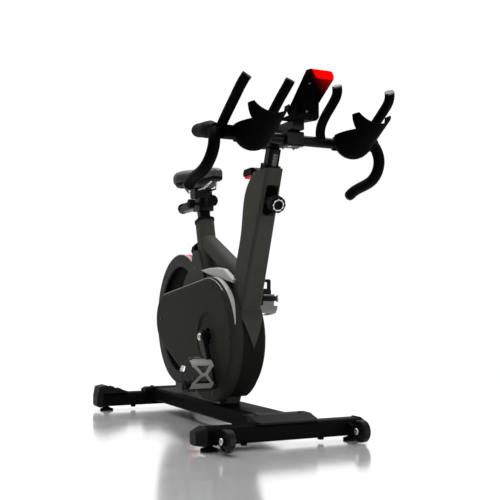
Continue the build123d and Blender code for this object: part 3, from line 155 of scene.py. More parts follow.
def soft_panel(name, place, aim, size, power):
    """A large rectangular lamp that looks at a point."""
    data = bpy.data.lights.new(name, "AREA")
    data.shape = "RECTANGLE"
    data.size, data.size_y = size
    data.energy = power
    lamp = linked(name, data)
    lamp.location = place
    lamp.rotation_euler = (Vector(aim) - Vector(place)).to_track_quat("-Z", "Y").to_euler()


soft_panel("top_panel", place=(-0.3, 0.1, 3.2), aim=(0.0, 0.0, 0.0), size=(3.4, 3.4), power=190.0)
soft_panel("right_panel", place=(0.4, -3.0, 1.3), aim=(0.0, 0.0, 0.55), size=(2.0, 1.6), power=2.0)
soft_panel("front_panel", place=(3.2, 1.2, 0.9), aim=(0.3, 0.0, 0.6), size=(1.4, 1.8), power=44.0)

floor_mesh = bmesh.new()
bmesh.ops.create_circle(floor_mesh, cap_ends=True, segments=96, radius=FLOOR_R)
floor = linked("studio_floor", mesh_from(floor_mesh, "studio_floor"))
print("studio with", len(bpy.data.lights), "lights and a floor of", FLOOR_R, "m radius")


# %% [markdown]
# Every finish starts the same way: a shader, Object coordinates so that a pattern stays fixed to the
# piece, and a rounded-edge normal so that sharp CAD corners catch light as real moulded or painted
# corners do.

# %% Finish helpers
TEXTURE_SPAN = (0.25, 0.75)


def start_finish(name, edge=0.0006):
    """An empty material with its shader, Object coordinates and softened edge normal."""
    material = bpy.data.materials.new(name)
    material.use_nodes = True
    tree = material.node_tree
    shader = tree.nodes["Principled BSDF"]
    place = tree.nodes.new("ShaderNodeTexCoord")
    rounded = tree.nodes.new("ShaderNodeBevel")
    rounded.samples = 4
    rounded.inputs["Radius"].default_value = edge
    tree.links.new(rounded.outputs["Normal"], shader.inputs["Normal"])
    return material, tree, shader, place.outputs["Object"], rounded.outputs["Normal"]


def noise(tree, where, scale, detail=3.0, rough=0.5, stretch=None):
    """Noise on the piece, stretched where a stretch is given."""
    if stretch is not None:
        mapping = tree.nodes.new("ShaderNodeMapping")
        mapping.inputs["Scale"].default_value = stretch
        tree.links.new(where, mapping.inputs["Vector"])
        where = mapping.outputs["Vector"]
    texture = tree.nodes.new("ShaderNodeTexNoise")
    texture.inputs["Scale"].default_value = scale
    texture.inputs["Detail"].default_value = detail
    texture.inputs["Roughness"].default_value = rough
    tree.links.new(where, texture.inputs["Vector"])
    return texture.outputs["Fac"]


def ramp(tree, value, low, high, start=0.3, end=0.7):
    """Two colours blended by a value."""
    node = tree.nodes.new("ShaderNodeValToRGB")
    node.color_ramp.elements[0].position = start
    node.color_ramp.elements[0].color = (*low, 1.0)
    node.color_ramp.elements[1].position = end
    node.color_ramp.elements[1].color = (*high, 1.0)
    tree.links.new(value, node.inputs["Fac"])
    return node.outputs["Color"]


def spread(tree, value, low, high):
    """A texture's value, which mostly stays in the middle of 0 to 1, mapped to a range of numbers."""
    return remap(tree, value, TEXTURE_SPAN, (low, high))


def bump(tree, height, normal, strength, distance):
    """A normal that leans with a height, which stands a distance in metres."""
    node = tree.nodes.new("ShaderNodeBump")
    node.inputs["Strength"].default_value = strength
    node.inputs["Distance"].default_value = distance
    tree.links.new(height, node.inputs["Height"])
    tree.links.new(normal, node.inputs["Normal"])
    return node.outputs["Normal"]


def join(tree, shader, colour, roughness, normal):
    """Link a colour, a roughness and a normal to a shader."""
    tree.links.new(colour, shader.inputs["Base Color"])
    tree.links.new(roughness, shader.inputs["Roughness"])
    tree.links.new(normal, shader.inputs["Normal"])


def grained(name, tones, rough, grain_scale, grain_depth, specular):
    """Painted, moulded or rubber surface: cloudy colour, uneven sheen and a fine all-over grain."""
    material, tree, shader, where, normal = start_finish(name)
    clouds = noise(tree, where, scale=9.0, detail=4.0)
    grain = noise(tree, where, grain_scale, detail=2.0)
    relief = bump(tree, grain, normal, strength=0.35, distance=grain_depth)
    join(tree, shader, ramp(tree, clouds, *tones), spread(tree, clouds, *rough), relief)
    shader.inputs["Specular IOR Level"].default_value = specular
    return material


# %% [markdown]
# Frame tubes have a matte warm charcoal powder coat. The base is the same coat in black, and the covers
# are injection moulded with a spark-eroded grain that is a little coarser. Rubber is darker and duller
# still, and the silver lines are a metallic lacquer, which keeps its tone from all sides as bare metal
# would not. Each finish has its two tones, its range of roughness, the scale and depth of its grain and
# its specular level.

# %% Painted, moulded and rubber finishes
CHARCOAL = ((0.0330, 0.0328, 0.0285), (0.0430, 0.0425, 0.0370))
COVER = ((0.0170, 0.0170, 0.0140), (0.0225, 0.0225, 0.0186))
# The front shroud takes the covers' moulded plastic in darker tones: painted shade where the light falls
# off low at the front.
SHROUD_PAINTED_SHADE = ((0.0075, 0.0075, 0.0064), (0.0105, 0.0105, 0.0090))
BLACK = ((0.0030, 0.0030, 0.0031), (0.0048, 0.0048, 0.0050))
PAD = ((0.0085, 0.0085, 0.0084), (0.0125, 0.0125, 0.0123))
SOOT = ((0.0009, 0.0009, 0.0009), (0.0016, 0.0016, 0.0016))
SMOKE = ((0.105, 0.105, 0.102), (0.145, 0.145, 0.140))
DOT = ((0.018, 0.018, 0.017), (0.028, 0.028, 0.027))
PALE = ((0.060, 0.060, 0.058), (0.090, 0.090, 0.087))
SILVER = ((0.26, 0.26, 0.255), (0.33, 0.33, 0.32))
RED = ((0.74, 0.012, 0.014), (0.88, 0.018, 0.020))
WHITE = ((0.93, 0.93, 0.93), (0.95, 0.95, 0.95))

charcoal_coat = grained("charcoal_coat", CHARCOAL, (0.44, 0.56), 900.0, 0.00012, 0.018)
black_coat = grained("black_coat", BLACK, (0.36, 0.48), 900.0, 0.00012, 0.006)
cover_grain = grained("cover_grain", COVER, (0.42, 0.54), 650.0, 0.00016, 0.012)
# The shroud's darker tones are painted shade on the cover plastic.
shroud_painted_shade = grained("shroud_painted_shade", SHROUD_PAINTED_SHADE, (0.46, 0.58), 650.0, 0.00016, 0.008)
black_grain = grained("black_grain", BLACK, (0.42, 0.56), 700.0, 0.00015, 0.020)
pad_grain = grained("pad_grain", PAD, (0.46, 0.60), 600.0, 0.0002, 0.03)
cup_grain = grained("cup_grain", SOOT, (0.44, 0.56), 700.0, 0.00015, 0.005)
dull_rubber = grained("dull_rubber", BLACK, (0.62, 0.78), 420.0, 0.0003, 0.06)
bar_coating = grained("bar_coating", SOOT, (0.52, 0.64), 1100.0, 0.0002, 0.018)
black_alloy = grained("black_alloy", BLACK, (0.28, 0.40), 1400.0, 0.00006, 0.05)
cage_plastic = grained("cage_plastic", SMOKE, (0.38, 0.50), 700.0, 0.00012, 0.30)
satin_silver = grained("satin_silver", SILVER, (0.34, 0.46), 1600.0, 0.00004, 0.40)
dot_grey = grained("dot_grey", DOT, (0.30, 0.40), 900.0, 0.0001, 0.30)
pale_plastic = grained("pale_plastic", PALE, (0.44, 0.56), 700.0, 0.0001, 0.10)
red_paint = grained("red_paint", RED, (0.40, 0.52), 700.0, 0.0001, 0.06)
floor_finish = grained("floor_finish", WHITE, (0.13, 0.17), 60.0, 0.00001, 0.5)
floor_finish.node_tree.nodes["Principled BSDF"].inputs["Metallic"].default_value = 0.7
floor.data.materials.append(floor_finish)
print("made", len(bpy.data.materials), "grained finishes")


# %% [markdown]
# Bare metal shows its making. Brushed and turned parts get streaks from a noise stretched along one axis,
# and the smoked chrome of the knob's ring stays smooth with only faint smudges.

# %% Metal finishes
LENGTHWISE = (6.0, 0.4, 6.0)
EVEN = (1.0, 1.0, 1.0)
STREAK_DEPTH = 0.00006
SMUDGE_DEPTH = 0.00001
STEEL = ((0.42, 0.42, 0.43), (0.58, 0.58, 0.58))
CHROME = ((0.15, 0.15, 0.155), (0.22, 0.22, 0.225))


def streaks(tree, where, stretch):
    """Fine lines drawn out along the axis whose stretch is small."""
    return noise(tree, where, scale=120.0, detail=4.0, rough=0.6, stretch=stretch)


def streaked(name, tones, rough, stretch, depth):
    """Metal with streaks in its colour, its sheen and its surface."""
    material, tree, shader, where, normal = start_finish(name, edge=0.0004)
    lines = streaks(tree, where, stretch)
    relief = bump(tree, lines, normal, strength=0.3, distance=depth)
    join(tree, shader, ramp(tree, lines, *tones), spread(tree, lines, *rough), relief)
    shader.inputs["Metallic"].default_value = 1.0
    return material


bolt_steel = streaked("bolt_steel", STEEL, (0.22, 0.36), LENGTHWISE, STREAK_DEPTH)
chrome = streaked("chrome", CHROME, (0.10, 0.18), EVEN, SMUDGE_DEPTH)
print("made", bolt_steel.name, "and", chrome.name)


# %% [markdown]
# The flywheel is turned on a lathe. Its tread stays bare and bright, the ring of its face is painted
# charcoal and the hollow inside the ring black. The distance from the axle tells these zones apart, and
# fine rings drawn from that distance are the tool marks.

# %% Turned flywheel finish
SIDE_VIEW = (1.0, 0.0, 1.0)
RIM_WIDTH = 0.046
TREAD_SKIN = 0.0012
HOLLOW = ((0.0014, 0.0014, 0.0014), (0.0022, 0.0022, 0.0022))
RIM = ((0.0360, 0.0360, 0.0350), (0.0480, 0.0480, 0.0465))
TREAD = ((0.34, 0.34, 0.34), (0.46, 0.46, 0.45))


def axle_distance(tree, where, centre):
    """How far a point lies from a level axle that runs across the bike."""
    shift = vector_step(tree, "SUBTRACT", where, centre)
    flat = vector_step(tree, "MULTIPLY", shift.outputs["Vector"], SIDE_VIEW)
    radius = tree.nodes.new("ShaderNodeVectorMath")
    radius.operation = "LENGTH"
    tree.links.new(flat.outputs["Vector"], radius.inputs[0])
    return radius.outputs["Value"]


def beyond(tree, value, limit):
    """1 where a value is over a limit, 0 below it."""
    node = tree.nodes.new("ShaderNodeMath")
    node.operation = "GREATER_THAN"
    node.inputs[1].default_value = limit
    tree.links.new(value, node.inputs[0])
    return node.outputs["Value"]


def either(tree, choice, below, above):
    """One colour where the choice is 0 and another where it is 1."""
    node = tree.nodes.new("ShaderNodeMix")
    node.data_type = "RGBA"
    tree.links.new(choice, node.inputs["Factor"])
    tree.links.new(below, node.inputs["A"])
    tree.links.new(above, node.inputs["B"])
    return node.outputs["Result"]


def turned_iron(name, centre, hollow, tread):
    """Cast iron with a black hollow, a painted ring outside it and a bare tread."""
    material, tree, shader, where, normal = start_finish(name, edge=0.0008)
    radius = axle_distance(tree, where, centre)
    rings = tree.nodes.new("ShaderNodeTexNoise")
    rings.noise_dimensions = "1D"
    rings.inputs["Scale"].default_value = 900.0
    tree.links.new(radius, rings.inputs["W"])
    marks = rings.outputs["Fac"]
    face = either(tree, beyond(tree, radius, hollow), ramp(tree, marks, *HOLLOW), ramp(tree, marks, *RIM))
    colour = either(tree, beyond(tree, radius, tread), face, ramp(tree, marks, *TREAD))
    relief = bump(tree, marks, normal, strength=0.25, distance=0.0001)
    join(tree, shader, colour, spread(tree, marks, low=0.38, high=0.50), relief)
    shader.inputs["Specular IOR Level"].default_value = 0.006
    return material


wheel_low, wheel_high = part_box("flywheel")
wheel_centre = (wheel_low + wheel_high) / 2
wheel_radius = (wheel_high.z - wheel_low.z) / 2
flywheel_iron = turned_iron(
    "flywheel_iron", wheel_centre, wheel_radius - RIM_WIDTH, wheel_radius - TREAD_SKIN
)
print("flywheel radius", round(wheel_radius, 4))

# %% [markdown]
# A transport wheel is a hard plastic disc with a rubber tread pressed on it. Both wheels turn on one line
# across the bike, so one finish that looks at the distance from that line serves for both.

# %% Transport wheel finish
TYRE_THICK = 0.0065
DISC = ((0.0050, 0.0050, 0.0050), (0.0080, 0.0080, 0.0080))


def tyred_disc(name, centre, tyre):
    """Plastic disc inside the tyre's radius and rubber outside it."""
    material, tree, shader, where, normal = start_finish(name)
    outer = beyond(tree, axle_distance(tree, where, centre), tyre)
    clouds = noise(tree, where, scale=40.0)
    grain = noise(tree, where, scale=900.0)
    colour = either(tree, outer, ramp(tree, clouds, *DISC), ramp(tree, clouds, *BLACK))
    relief = bump(tree, grain, normal, strength=0.3, distance=0.0002)
    join(tree, shader, colour, spread(tree, clouds, low=0.36, high=0.52), relief)
    shader.inputs["Specular IOR Level"].default_value = 0.08
    return material


small_low, small_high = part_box("transport_wheel_right")
small_radius = (small_high.z - small_low.z) / 2
wheel_axle = (small_low + small_high) / 2
wheel_disc = tyred_disc("wheel_disc", wheel_axle, small_radius - TYRE_THICK)
print("transport wheel radius", round(small_radius, 4))

# %% [markdown]
# Screws and pins come in two finishes. Most are blackened so that they don't show on a dark frame. The
# two axle bolts of the transport wheels are plain zinc, and they lie on the wheels' own line, so the
# distance from it picks them out.

# %% Screw finish
AXLE_BOLT_R = 0.010
ZINC = ((0.46, 0.46, 0.47), (0.62, 0.62, 0.62))
BLACKENED = ((0.020, 0.020, 0.021), (0.034, 0.034, 0.035))


def screw_finish(name, axle, reach):
    """Zinc near an axle and blackened steel elsewhere."""
    material, tree, shader, where, normal = start_finish(name, edge=0.0004)
    off_axle = beyond(tree, axle_distance(tree, where, axle), reach)
    lines = streaks(tree, where, LENGTHWISE)
    colour = either(tree, off_axle, ramp(tree, lines, *ZINC), ramp(tree, lines, *BLACKENED))
    relief = bump(tree, lines, normal, strength=0.3, distance=STREAK_DEPTH)
    join(tree, shader, colour, spread(tree, lines, low=0.28, high=0.40), relief)
    shader.inputs["Metallic"].default_value = 1.0
    return material


screws = screw_finish("screws", wheel_axle, AXLE_BOLT_R)
print("bolts within", AXLE_BOLT_R * 1000, "mm of the wheel axle stay bright")

# %% [markdown]
# The console ends in a red lens that is lit except at its right corner, and the glow spills into the dark
# housing beside it. Both are an emission that fades with the distance from the lens's left corner, along
# and across: on the lens within a few millimetres, on the housing over a longer way. The glow on the
# housing is painted light: it stands in for the lens's light falling there.

# %% Console finishes
CONSOLE_TILT = math.radians(33.0)
SPILL_ACROSS = 0.86
LENS_FADE = (0.046, 0.052)
LENS_PEAK = 1.3
SHELL_PAINTED_GLOW_FADE = (0.0, 0.066)
SHELL_PAINTED_GLOW_PEAK = 0.40
GLOW = (1.0, 0.0006, 0.0008)
LENS = ((0.012, 0.0003, 0.0003), (0.018, 0.0004, 0.0004))

lens_low, lens_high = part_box("console_lens")
along = Vector((math.cos(CONSOLE_TILT), 0.0, math.sin(CONSOLE_TILT)))
spill = (along + Vector((0.0, SPILL_ACROSS, 0.0))).normalized()


def distance_along(tree, where, start, direction):
    """How far a point lies from a start, measured along a direction."""
    shift = vector_step(tree, "SUBTRACT", where, start)
    return vector_step(tree, "DOT_PRODUCT", shift.outputs["Vector"], direction).outputs["Value"]


def glow_finish(name, tones, peak, fade):
    """Moulded surface whose red glow fades between two distances behind the lens's left corner."""
    material, tree, shader, where, normal = start_finish(name)
    clouds = noise(tree, where, scale=60.0)
    join(tree, shader, ramp(tree, clouds, *tones), spread(tree, clouds, low=0.40, high=0.52), normal)
    travel = distance_along(tree, where, lens_high, spill)
    strength = remap(tree, travel, (-fade[1], -fade[0]), (0.0, peak), smooth=True)
    tree.links.new(strength, shader.inputs["Emission Strength"])
    shader.inputs["Emission Color"].default_value = (*GLOW, 1.0)
    shader.inputs["Specular IOR Level"].default_value = 0.0
    return material


lit_lens = glow_finish("lit_lens", LENS, LENS_PEAK, LENS_FADE)
# The housing's emission is painted light from the lens, not a lamp of its own.
console_shell_painted_glow = glow_finish("console_shell_painted_glow", SOOT, SHELL_PAINTED_GLOW_PEAK, SHELL_PAINTED_GLOW_FADE)
screen_glass = grained("screen_glass", BLACK, (0.08, 0.14), 300.0, 0.00001, 0.5)
print("console glow reaches", SHELL_PAINTED_GLOW_FADE[1] * 1000, "mm back from the lens")


# %% [markdown]
# The scale on the handlebar post is a printed strip. Its lines repeat along the leaning post, so the
# finish measures along the post's axis and darkens a thin line every 10 mm. There are no figures on it.

# %% Scale strip finish
SCALE_STEP = 0.010
SCALE_LINE = 0.0012
STRIP = ((0.050, 0.050, 0.049), (0.072, 0.072, 0.070))

scale_low, scale_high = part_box("bar_post_scale")
post_axis = Vector(joints["bar_height"]["axis"]).normalized()


def scale_finish(name, start, step, line):
    """Grey strip with thin dark lines at an even step along the post."""
    material, tree, shader, where, normal = start_finish(name, edge=0.0002)
    repeat = tree.nodes.new("ShaderNodeMath")
    repeat.operation = "PINGPONG"
    repeat.inputs[1].default_value = step / 2
    tree.links.new(distance_along(tree, where, start, post_axis), repeat.inputs[0])
    clouds = noise(tree, where, scale=80.0)
    open_strip = beyond(tree, repeat.outputs["Value"], line / 2)
    colour = either(tree, open_strip, ramp(tree, clouds, *BLACK), ramp(tree, clouds, *STRIP))
    relief = bump(tree, clouds, normal, strength=0.15, distance=0.0001)
    join(tree, shader, colour, spread(tree, clouds, low=0.36, high=0.46), relief)
    shader.inputs["Specular IOR Level"].default_value = 0.30
    return material


scale_strip = scale_finish("scale_strip", (scale_low + scale_high) / 2, SCALE_STEP, SCALE_LINE)
print("scale strip", round((scale_high - scale_low).dot(post_axis) * 1000, 1), "mm long")


# %% [markdown]
# Vinyl has a cell-like grain. Voronoi cells give the creases, and a broader noise makes the sheen uneven
# where riders have polished it.

# %% Saddle vinyl
TOP_VINYL = ((0.0105, 0.0105, 0.0104), (0.0170, 0.0170, 0.0168))
SIDE_VINYL = ((0.0150, 0.0150, 0.0148), (0.0220, 0.0220, 0.0216))
THREAD = ((0.030, 0.030, 0.030), (0.045, 0.045, 0.045))


def vinyl_finish(name, tones):
    """Grained vinyl with creases between small cells."""
    material, tree, shader, where, normal = start_finish(name, edge=0.0003)
    cells = tree.nodes.new("ShaderNodeTexVoronoi")
    cells.feature = "DISTANCE_TO_EDGE"
    cells.inputs["Scale"].default_value = 420.0
    tree.links.new(where, cells.inputs["Vector"])
    wear = noise(tree, where, scale=14.0, detail=4.0)
    relief = bump(tree, cells.outputs["Distance"], normal, strength=0.45, distance=0.0006)
    join(tree, shader, ramp(tree, wear, *tones), spread(tree, wear, low=0.40, high=0.56), relief)
    shader.inputs["Specular IOR Level"].default_value = 0.35
    return material


saddle_vinyl = vinyl_finish("saddle_vinyl", TOP_VINYL)
side_vinyl = vinyl_finish("side_vinyl", SIDE_VINYL)
thread = grained("thread", THREAD, (0.6, 0.7), 2000.0, 0.0001, 0.2)
print("made", saddle_vinyl.name, side_vinyl.name, "and", thread.name)

# %% [markdown]
# Each CAD piece now takes its finish. The list is grouped by finish, the way a paint shop would sort
# parts.

# %% Dress the CAD pieces
wardrobe = {
    charcoal_coat: ["frame_column", "seat_tube", "top_tube", "frame_core", "rear_stays"],
    black_coat: ["stabilizers", "spine_beam", "magnet_yoke"],
    cover_grain: ["right_cover", "left_cover"],
    shroud_painted_shade: ["front_shroud"],
    pad_grain: ["base_covers"],
    black_grain: [
        "post_sleeves", "slider_end_caps", "saddle_shell", "saddle_slider_knob",
        "seat_knob", "bar_slider_knob", "bar_knob", "brake_lever",
    ],
    cup_grain: ["bottle_cups", "console_mount"],
    wheel_disc: ["transport_wheel_right", "transport_wheel_left"],
    dull_rubber: [
        "drive_belt", "toe_strap_right", "toe_strap_left",
        "foot_front_right", "foot_front_left", "foot_rear_right", "foot_rear_left",
    ],
    bar_coating: ["drop_bars", "aero_bars"],
    black_alloy: [
        "crank_arms", "drive_pulley", "pedal_right", "pedal_left", "seat_post", "saddle_slider", "bar_post",
        "bar_slider", "crossbar",
    ],
    screws: ["bolts_and_pins"],
    bolt_steel: ["crank_axle_and_spindles", "flywheel_shaft", "saddle_rails", "stem_bolts"],
    satin_silver: ["silver_trim"],
    cage_plastic: ["toe_cage_right", "toe_cage_left"],
    chrome: ["bar_knob_ring"],
    pale_plastic: ["bar_end_plugs"],
    scale_strip: ["bar_post_scale"],
    red_paint: ["flywheel_band", "brake_lever_pad"],
    flywheel_iron: ["flywheel"],
    lit_lens: ["console_lens"],
    console_shell_painted_glow: ["console_housing"],
    screen_glass: ["console_screen"],
    saddle_vinyl: ["saddle_cushion"],
}
for finish, names in wardrobe.items():
    for name in names:
        for material_slot in cad[name].material_slots:
            material_slot.material = finish
dressed = {name for names in wardrobe.values() for name in names}
print("dressed", len(dressed), "pieces, bare:", sorted(set(cad) - dressed))

# %% [markdown]
# The saddle is foam under stretched vinyl. Its CAD solid gives the pattern's size. A copy is remeshed
# into even squares, drawn in a little and blown out with cloth pressure while its base stays on the
# shell, as foam presses against a cover. How far a point may travel is capped, so the cushion keeps the
# solid's room.

# %% Saddle cushion
PAD_VOXEL = 0.0042
PAD_SHRINK = 0.0022
PAD_TRAVEL = 0.006
PAD_PRESSURE = 4.0
PAD_STEPS = 20
BASE_HOLD = 0.004
SAME_POINT = 0.00005


def merged_copy(node, name):
    """A new object with the node's mesh, its loose triangles joined."""
    mesh = bmesh.new()
    mesh.from_mesh(cad[node].data)
    bmesh.ops.remove_doubles(mesh, verts=mesh.verts, dist=SAME_POINT)
    return linked(name, mesh_from(mesh, name))


def applied(piece):
    """The piece's mesh with its modifiers baked in and then removed."""
    bpy.context.view_layer.update()
    shape = piece.evaluated_get(bpy.context.evaluated_depsgraph_get())
    baked = bpy.data.meshes.new_from_object(shape)
    piece.modifiers.clear()
    piece.data = baked
    return piece


saddle = merged_copy("saddle_cushion", "saddle_cover")
voxels = saddle.modifiers.new("even_squares", "REMESH")
voxels.mode = "VOXEL"
voxels.voxel_size = PAD_VOXEL
applied(saddle)
base_z = min(vertex.co.z for vertex in saddle.data.vertices)
held = saddle.vertex_groups.new(name="held")
held.add([v.index for v in saddle.data.vertices if v.co.z < base_z + BASE_HOLD], 1.0, "REPLACE")
for vertex in saddle.data.vertices:
    if vertex.co.z >= base_z + BASE_HOLD:
        vertex.co -= vertex.normal * PAD_SHRINK
drawn_in = [vertex.co.copy() for vertex in saddle.data.vertices]
filling = saddle.modifiers.new("filling", "CLOTH")
filling.settings.vertex_group_mass = "held"
filling.settings.use_pressure = True
filling.settings.uniform_pressure_force = PAD_PRESSURE
filling.settings.effector_weights.gravity = 0.0
for step in range(1, PAD_STEPS + 1):
    scene.frame_set(step)
applied(saddle)
scene.frame_set(1)
for vertex, start in zip(saddle.data.vertices, drawn_in):
    travel = vertex.co - start
    if travel.length > PAD_TRAVEL:
        vertex.co = start + travel.normalized() * PAD_TRAVEL
rounder = saddle.modifiers.new("rounder", "SUBSURF")
rounder.levels = rounder.render_levels = 1
applied(saddle)
print("saddle points", len(saddle.data.vertices))

# %% [markdown]
# The cover is sewn from a top panel and two cheeks. The seam follows the cushion's outline at a fixed
# share of its half width. A narrow groove is pressed along it, and the cheeks take the paler vinyl.

# %% Saddle seam
SEAM_SHARE = 0.80
SEAM_GROOVE = 0.0026
SEAM_DEPTH = 0.0014
CHEEK_HIGH = 0.018
SLICE = 0.005

widths = {}
for vertex in saddle.data.vertices:
    place = round(vertex.co.x / SLICE)
    widths[place] = max(widths.get(place, 0.0), abs(vertex.co.y))


def half_width(x):
    """The cushion's half width at x, read from its own points and smoothed over three slices."""
    place = round(x / SLICE)
    near = [widths[k] for k in (place - 1, place, place + 1) if k in widths]
    return sum(near) / len(near)


middle_z = base_z + CHEEK_HIGH
saddle_middle = sum(vertex.co.x for vertex in saddle.data.vertices) / len(saddle.data.vertices)
for vertex in saddle.data.vertices:
    off_seam = abs(abs(vertex.co.y) - SEAM_SHARE * half_width(vertex.co.x))
    if off_seam < SEAM_GROOVE and vertex.co.z > middle_z:
        vertex.co -= vertex.normal * SEAM_DEPTH * (1.0 - off_seam / SEAM_GROOVE)
saddle.data.materials.clear()
saddle.data.materials.append(saddle_vinyl)
saddle.data.materials.append(side_vinyl)
for face in saddle.data.polygons:
    face.use_smooth = True
    outside = abs(face.center.y) > SEAM_SHARE * half_width(face.center.x)
    face.material_index = 1 if outside or face.center.z < middle_z else 0
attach(saddle, "saddle_set")
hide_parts("saddle_cushion")
print("seam half width at the middle", round(SEAM_SHARE * half_width(saddle_middle), 4))

# %% [markdown]
# Two rows of stitches hold the seam, one on each panel. A stitch is a short thread that dips into the
# vinyl at both ends, so each is a small stretched ball laid on the surface. A ray dropped onto the
# cushion finds its place, and a second one a little ahead gives its direction.

# %% Saddle stitches
STITCH_PITCH = 0.0068
STITCH_OFF = 0.0046
STITCH_SIZE = (0.0023, 0.0006, 0.0006)
STITCH_LIFT = 0.0001
STITCH_MARGIN = 0.022
STITCH_FACES = 20
AHEAD = 0.002
DROP_HEIGHT = 0.2


def finished(mesh, name, material, smooth=True):
    """A new object from a bmesh, with its finish."""
    data = mesh_from(mesh, name)
    data.materials.append(material)
    for face in data.polygons:
        face.use_smooth = smooth
    return linked(name, data)


def on_cushion(x, side, off):
    """The point and normal on the cushion's upper side beside the seam."""
    y = side * (SEAM_SHARE * half_width(x) + off)
    found, point, normal, _ = saddle.ray_cast((x, y, base_z + DROP_HEIGHT), (0.0, 0.0, -1.0))
    return (point, normal) if found else (None, None)


bpy.context.view_layer.update()
tail_x = min(vertex.co.x for vertex in saddle.data.vertices)
nose_x = max(vertex.co.x for vertex in saddle.data.vertices)
count = int((nose_x - tail_x - 2 * STITCH_MARGIN) / STITCH_PITCH)
stitch_mesh = bmesh.new()
for index in range(count):
    x = tail_x + STITCH_MARGIN + index * STITCH_PITCH
    for side, off in ((-1, STITCH_OFF), (-1, -STITCH_OFF), (1, STITCH_OFF), (1, -STITCH_OFF)):
        point, normal = on_cushion(x, side, off)
        ahead, _ = on_cushion(x + AHEAD, side, off)
        if point is None or ahead is None:
            continue
        run = (ahead - point).normalized()
        across = normal.cross(run).normalized()
        turn = Matrix((run, across, run.cross(across))).transposed().to_4x4()
        lift = Matrix.Translation(point + normal * STITCH_LIFT)
        where = lift @ turn @ Matrix.Diagonal((*STITCH_SIZE, 1.0))
        bmesh.ops.create_icosphere(stitch_mesh, subdivisions=1, radius=1.0, matrix=where)
stitches = finished(stitch_mesh, "saddle_stitches", thread)
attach(stitches, "saddle_set")
print("stitches", len(stitches.data.polygons) // STITCH_FACES)

# %% [markdown]
# A toe strap is woven webbing: threads that cross over and under in two directions. Two sets of waves at
# right angles, multiplied, make that pattern. It has to follow the strap round its bends, so the finish
# reads a UV map that holds the length along the strap and the place across it.

# %% Webbing finish
WEBBING = ((0.0020, 0.0020, 0.0021), (0.0080, 0.0080, 0.0084))
THREAD_SCALES = {"X": 210.0, "Y": 300.0}


def webbing_finish(name, tones):
    """Woven threads drawn along a ribbon's own UV map."""
    material, tree, shader, _, _ = start_finish(name, edge=0.0002)
    run = tree.nodes.new("ShaderNodeUVMap")
    run.uv_map = "weave"
    waves = []
    for direction, scale in THREAD_SCALES.items():
        wave = tree.nodes.new("ShaderNodeTexWave")
        wave.bands_direction = direction
        wave.inputs["Scale"].default_value = scale
        wave.inputs["Distortion"].default_value = 0.4
        tree.links.new(run.outputs["UV"], wave.inputs["Vector"])
        waves.append(wave.outputs["Fac"])
    woven = tree.nodes.new("ShaderNodeMath")
    woven.operation = "MULTIPLY"
    tree.links.new(waves[0], woven.inputs[0])
    tree.links.new(waves[1], woven.inputs[1])
    rise = tree.nodes.new("ShaderNodeBump")
    rise.inputs["Strength"].default_value = 0.6
    rise.inputs["Distance"].default_value = 0.0004
    height = woven.outputs["Value"]
    tree.links.new(height, rise.inputs["Height"])
    colour = ramp(tree, height, *tones, start=0.0, end=1.0)
    join(tree, shader, colour, spread(tree, height, low=0.60, high=0.75), rise.outputs["Normal"])
    shader.inputs["Specular IOR Level"].default_value = 0.10
    return material


webbing = webbing_finish("webbing", WEBBING)
print("made", webbing.name, "with threads in", len(THREAD_SCALES), "directions")

# %% [markdown]
# The strap runs under the pedal, up both sides and over the shoe. Half of that run is given as points
# across and up from the spindle, and mirrored. Extruding one edge from point to point lays a flat ribbon
# along it, Solidify gives it a thickness and a subdivision rounds its bends. Each point keeps the length
# it lies along, and that becomes the UV map for the weave.

# %% Toe straps
STRAP_WIDTH = 0.018
STRAP_THICK = 0.0024
STRAP_AHEAD = 0.022
LEFT_PEDAL_TURN = math.radians(90.0)

half_run = [
    (0.0005, -0.0145), (0.0200, -0.0145), (0.0400, -0.0145), (0.0446, -0.0143), (0.0460, -0.0128),
    (0.0463, -0.0060), (0.0474, 0.0120), (0.0480, 0.0300), (0.0476, 0.0420), (0.0450, 0.0540),
    (0.0390, 0.0665), (0.0285, 0.0795), (0.0150, 0.0868), (0.0, 0.0890),
]
strap_run = half_run + [(-y, z) for y, z in reversed(half_run[:-1])]


def strap_ribbon(name, place):
    """Webbing ribbon over one pedal, laid out round the spindle and then put in place."""
    mesh = bmesh.new()
    along = mesh.verts.layers.float.new("along")
    ends = [mesh.verts.new((STRAP_AHEAD + side * STRAP_WIDTH / 2, *strap_run[0])) for side in (-1, 1)]
    edge = mesh.edges.new(ends)
    length = 0.0
    for before, after in zip(strap_run, strap_run[1:]):
        step = Vector((0.0, after[0] - before[0], after[1] - before[1]))
        length += step.length
        grown = bmesh.ops.extrude_edge_only(mesh, edges=[edge])["geom"]
        tips = [item for item in grown if isinstance(item, bmesh.types.BMVert)]
        bmesh.ops.translate(mesh, verts=tips, vec=step)
        for tip in tips:
            tip[along] = length
        edge = next(item for item in tips[0].link_edges if item.other_vert(tips[0]) is tips[1])
    weave = mesh.loops.layers.uv.new("weave")
    for face in mesh.faces:
        for loop in face.loops:
            loop[weave].uv = (loop.vert[along], loop.vert.co.x)
    bmesh.ops.recalc_face_normals(mesh, faces=mesh.faces)
    bmesh.ops.transform(mesh, matrix=place, verts=mesh.verts)
    strap = finished(mesh, name, webbing)
    wall = strap.modifiers.new("thickness", "SOLIDIFY")
    wall.thickness = STRAP_THICK
    wall.offset = 0.0
    soft = strap.modifiers.new("soft_bends", "SUBSURF")
    soft.levels = soft.render_levels = 2
    return strap, length


def pedal_place(side):
    """Where a pedal's spindle is, and how the pedal is turned at rest."""
    low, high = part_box("pedal_" + side)
    turn = Matrix.Rotation(LEFT_PEDAL_TURN if side == "left" else 0.0, 4, "Y")
    return Matrix.Translation((low + high) / 2) @ turn


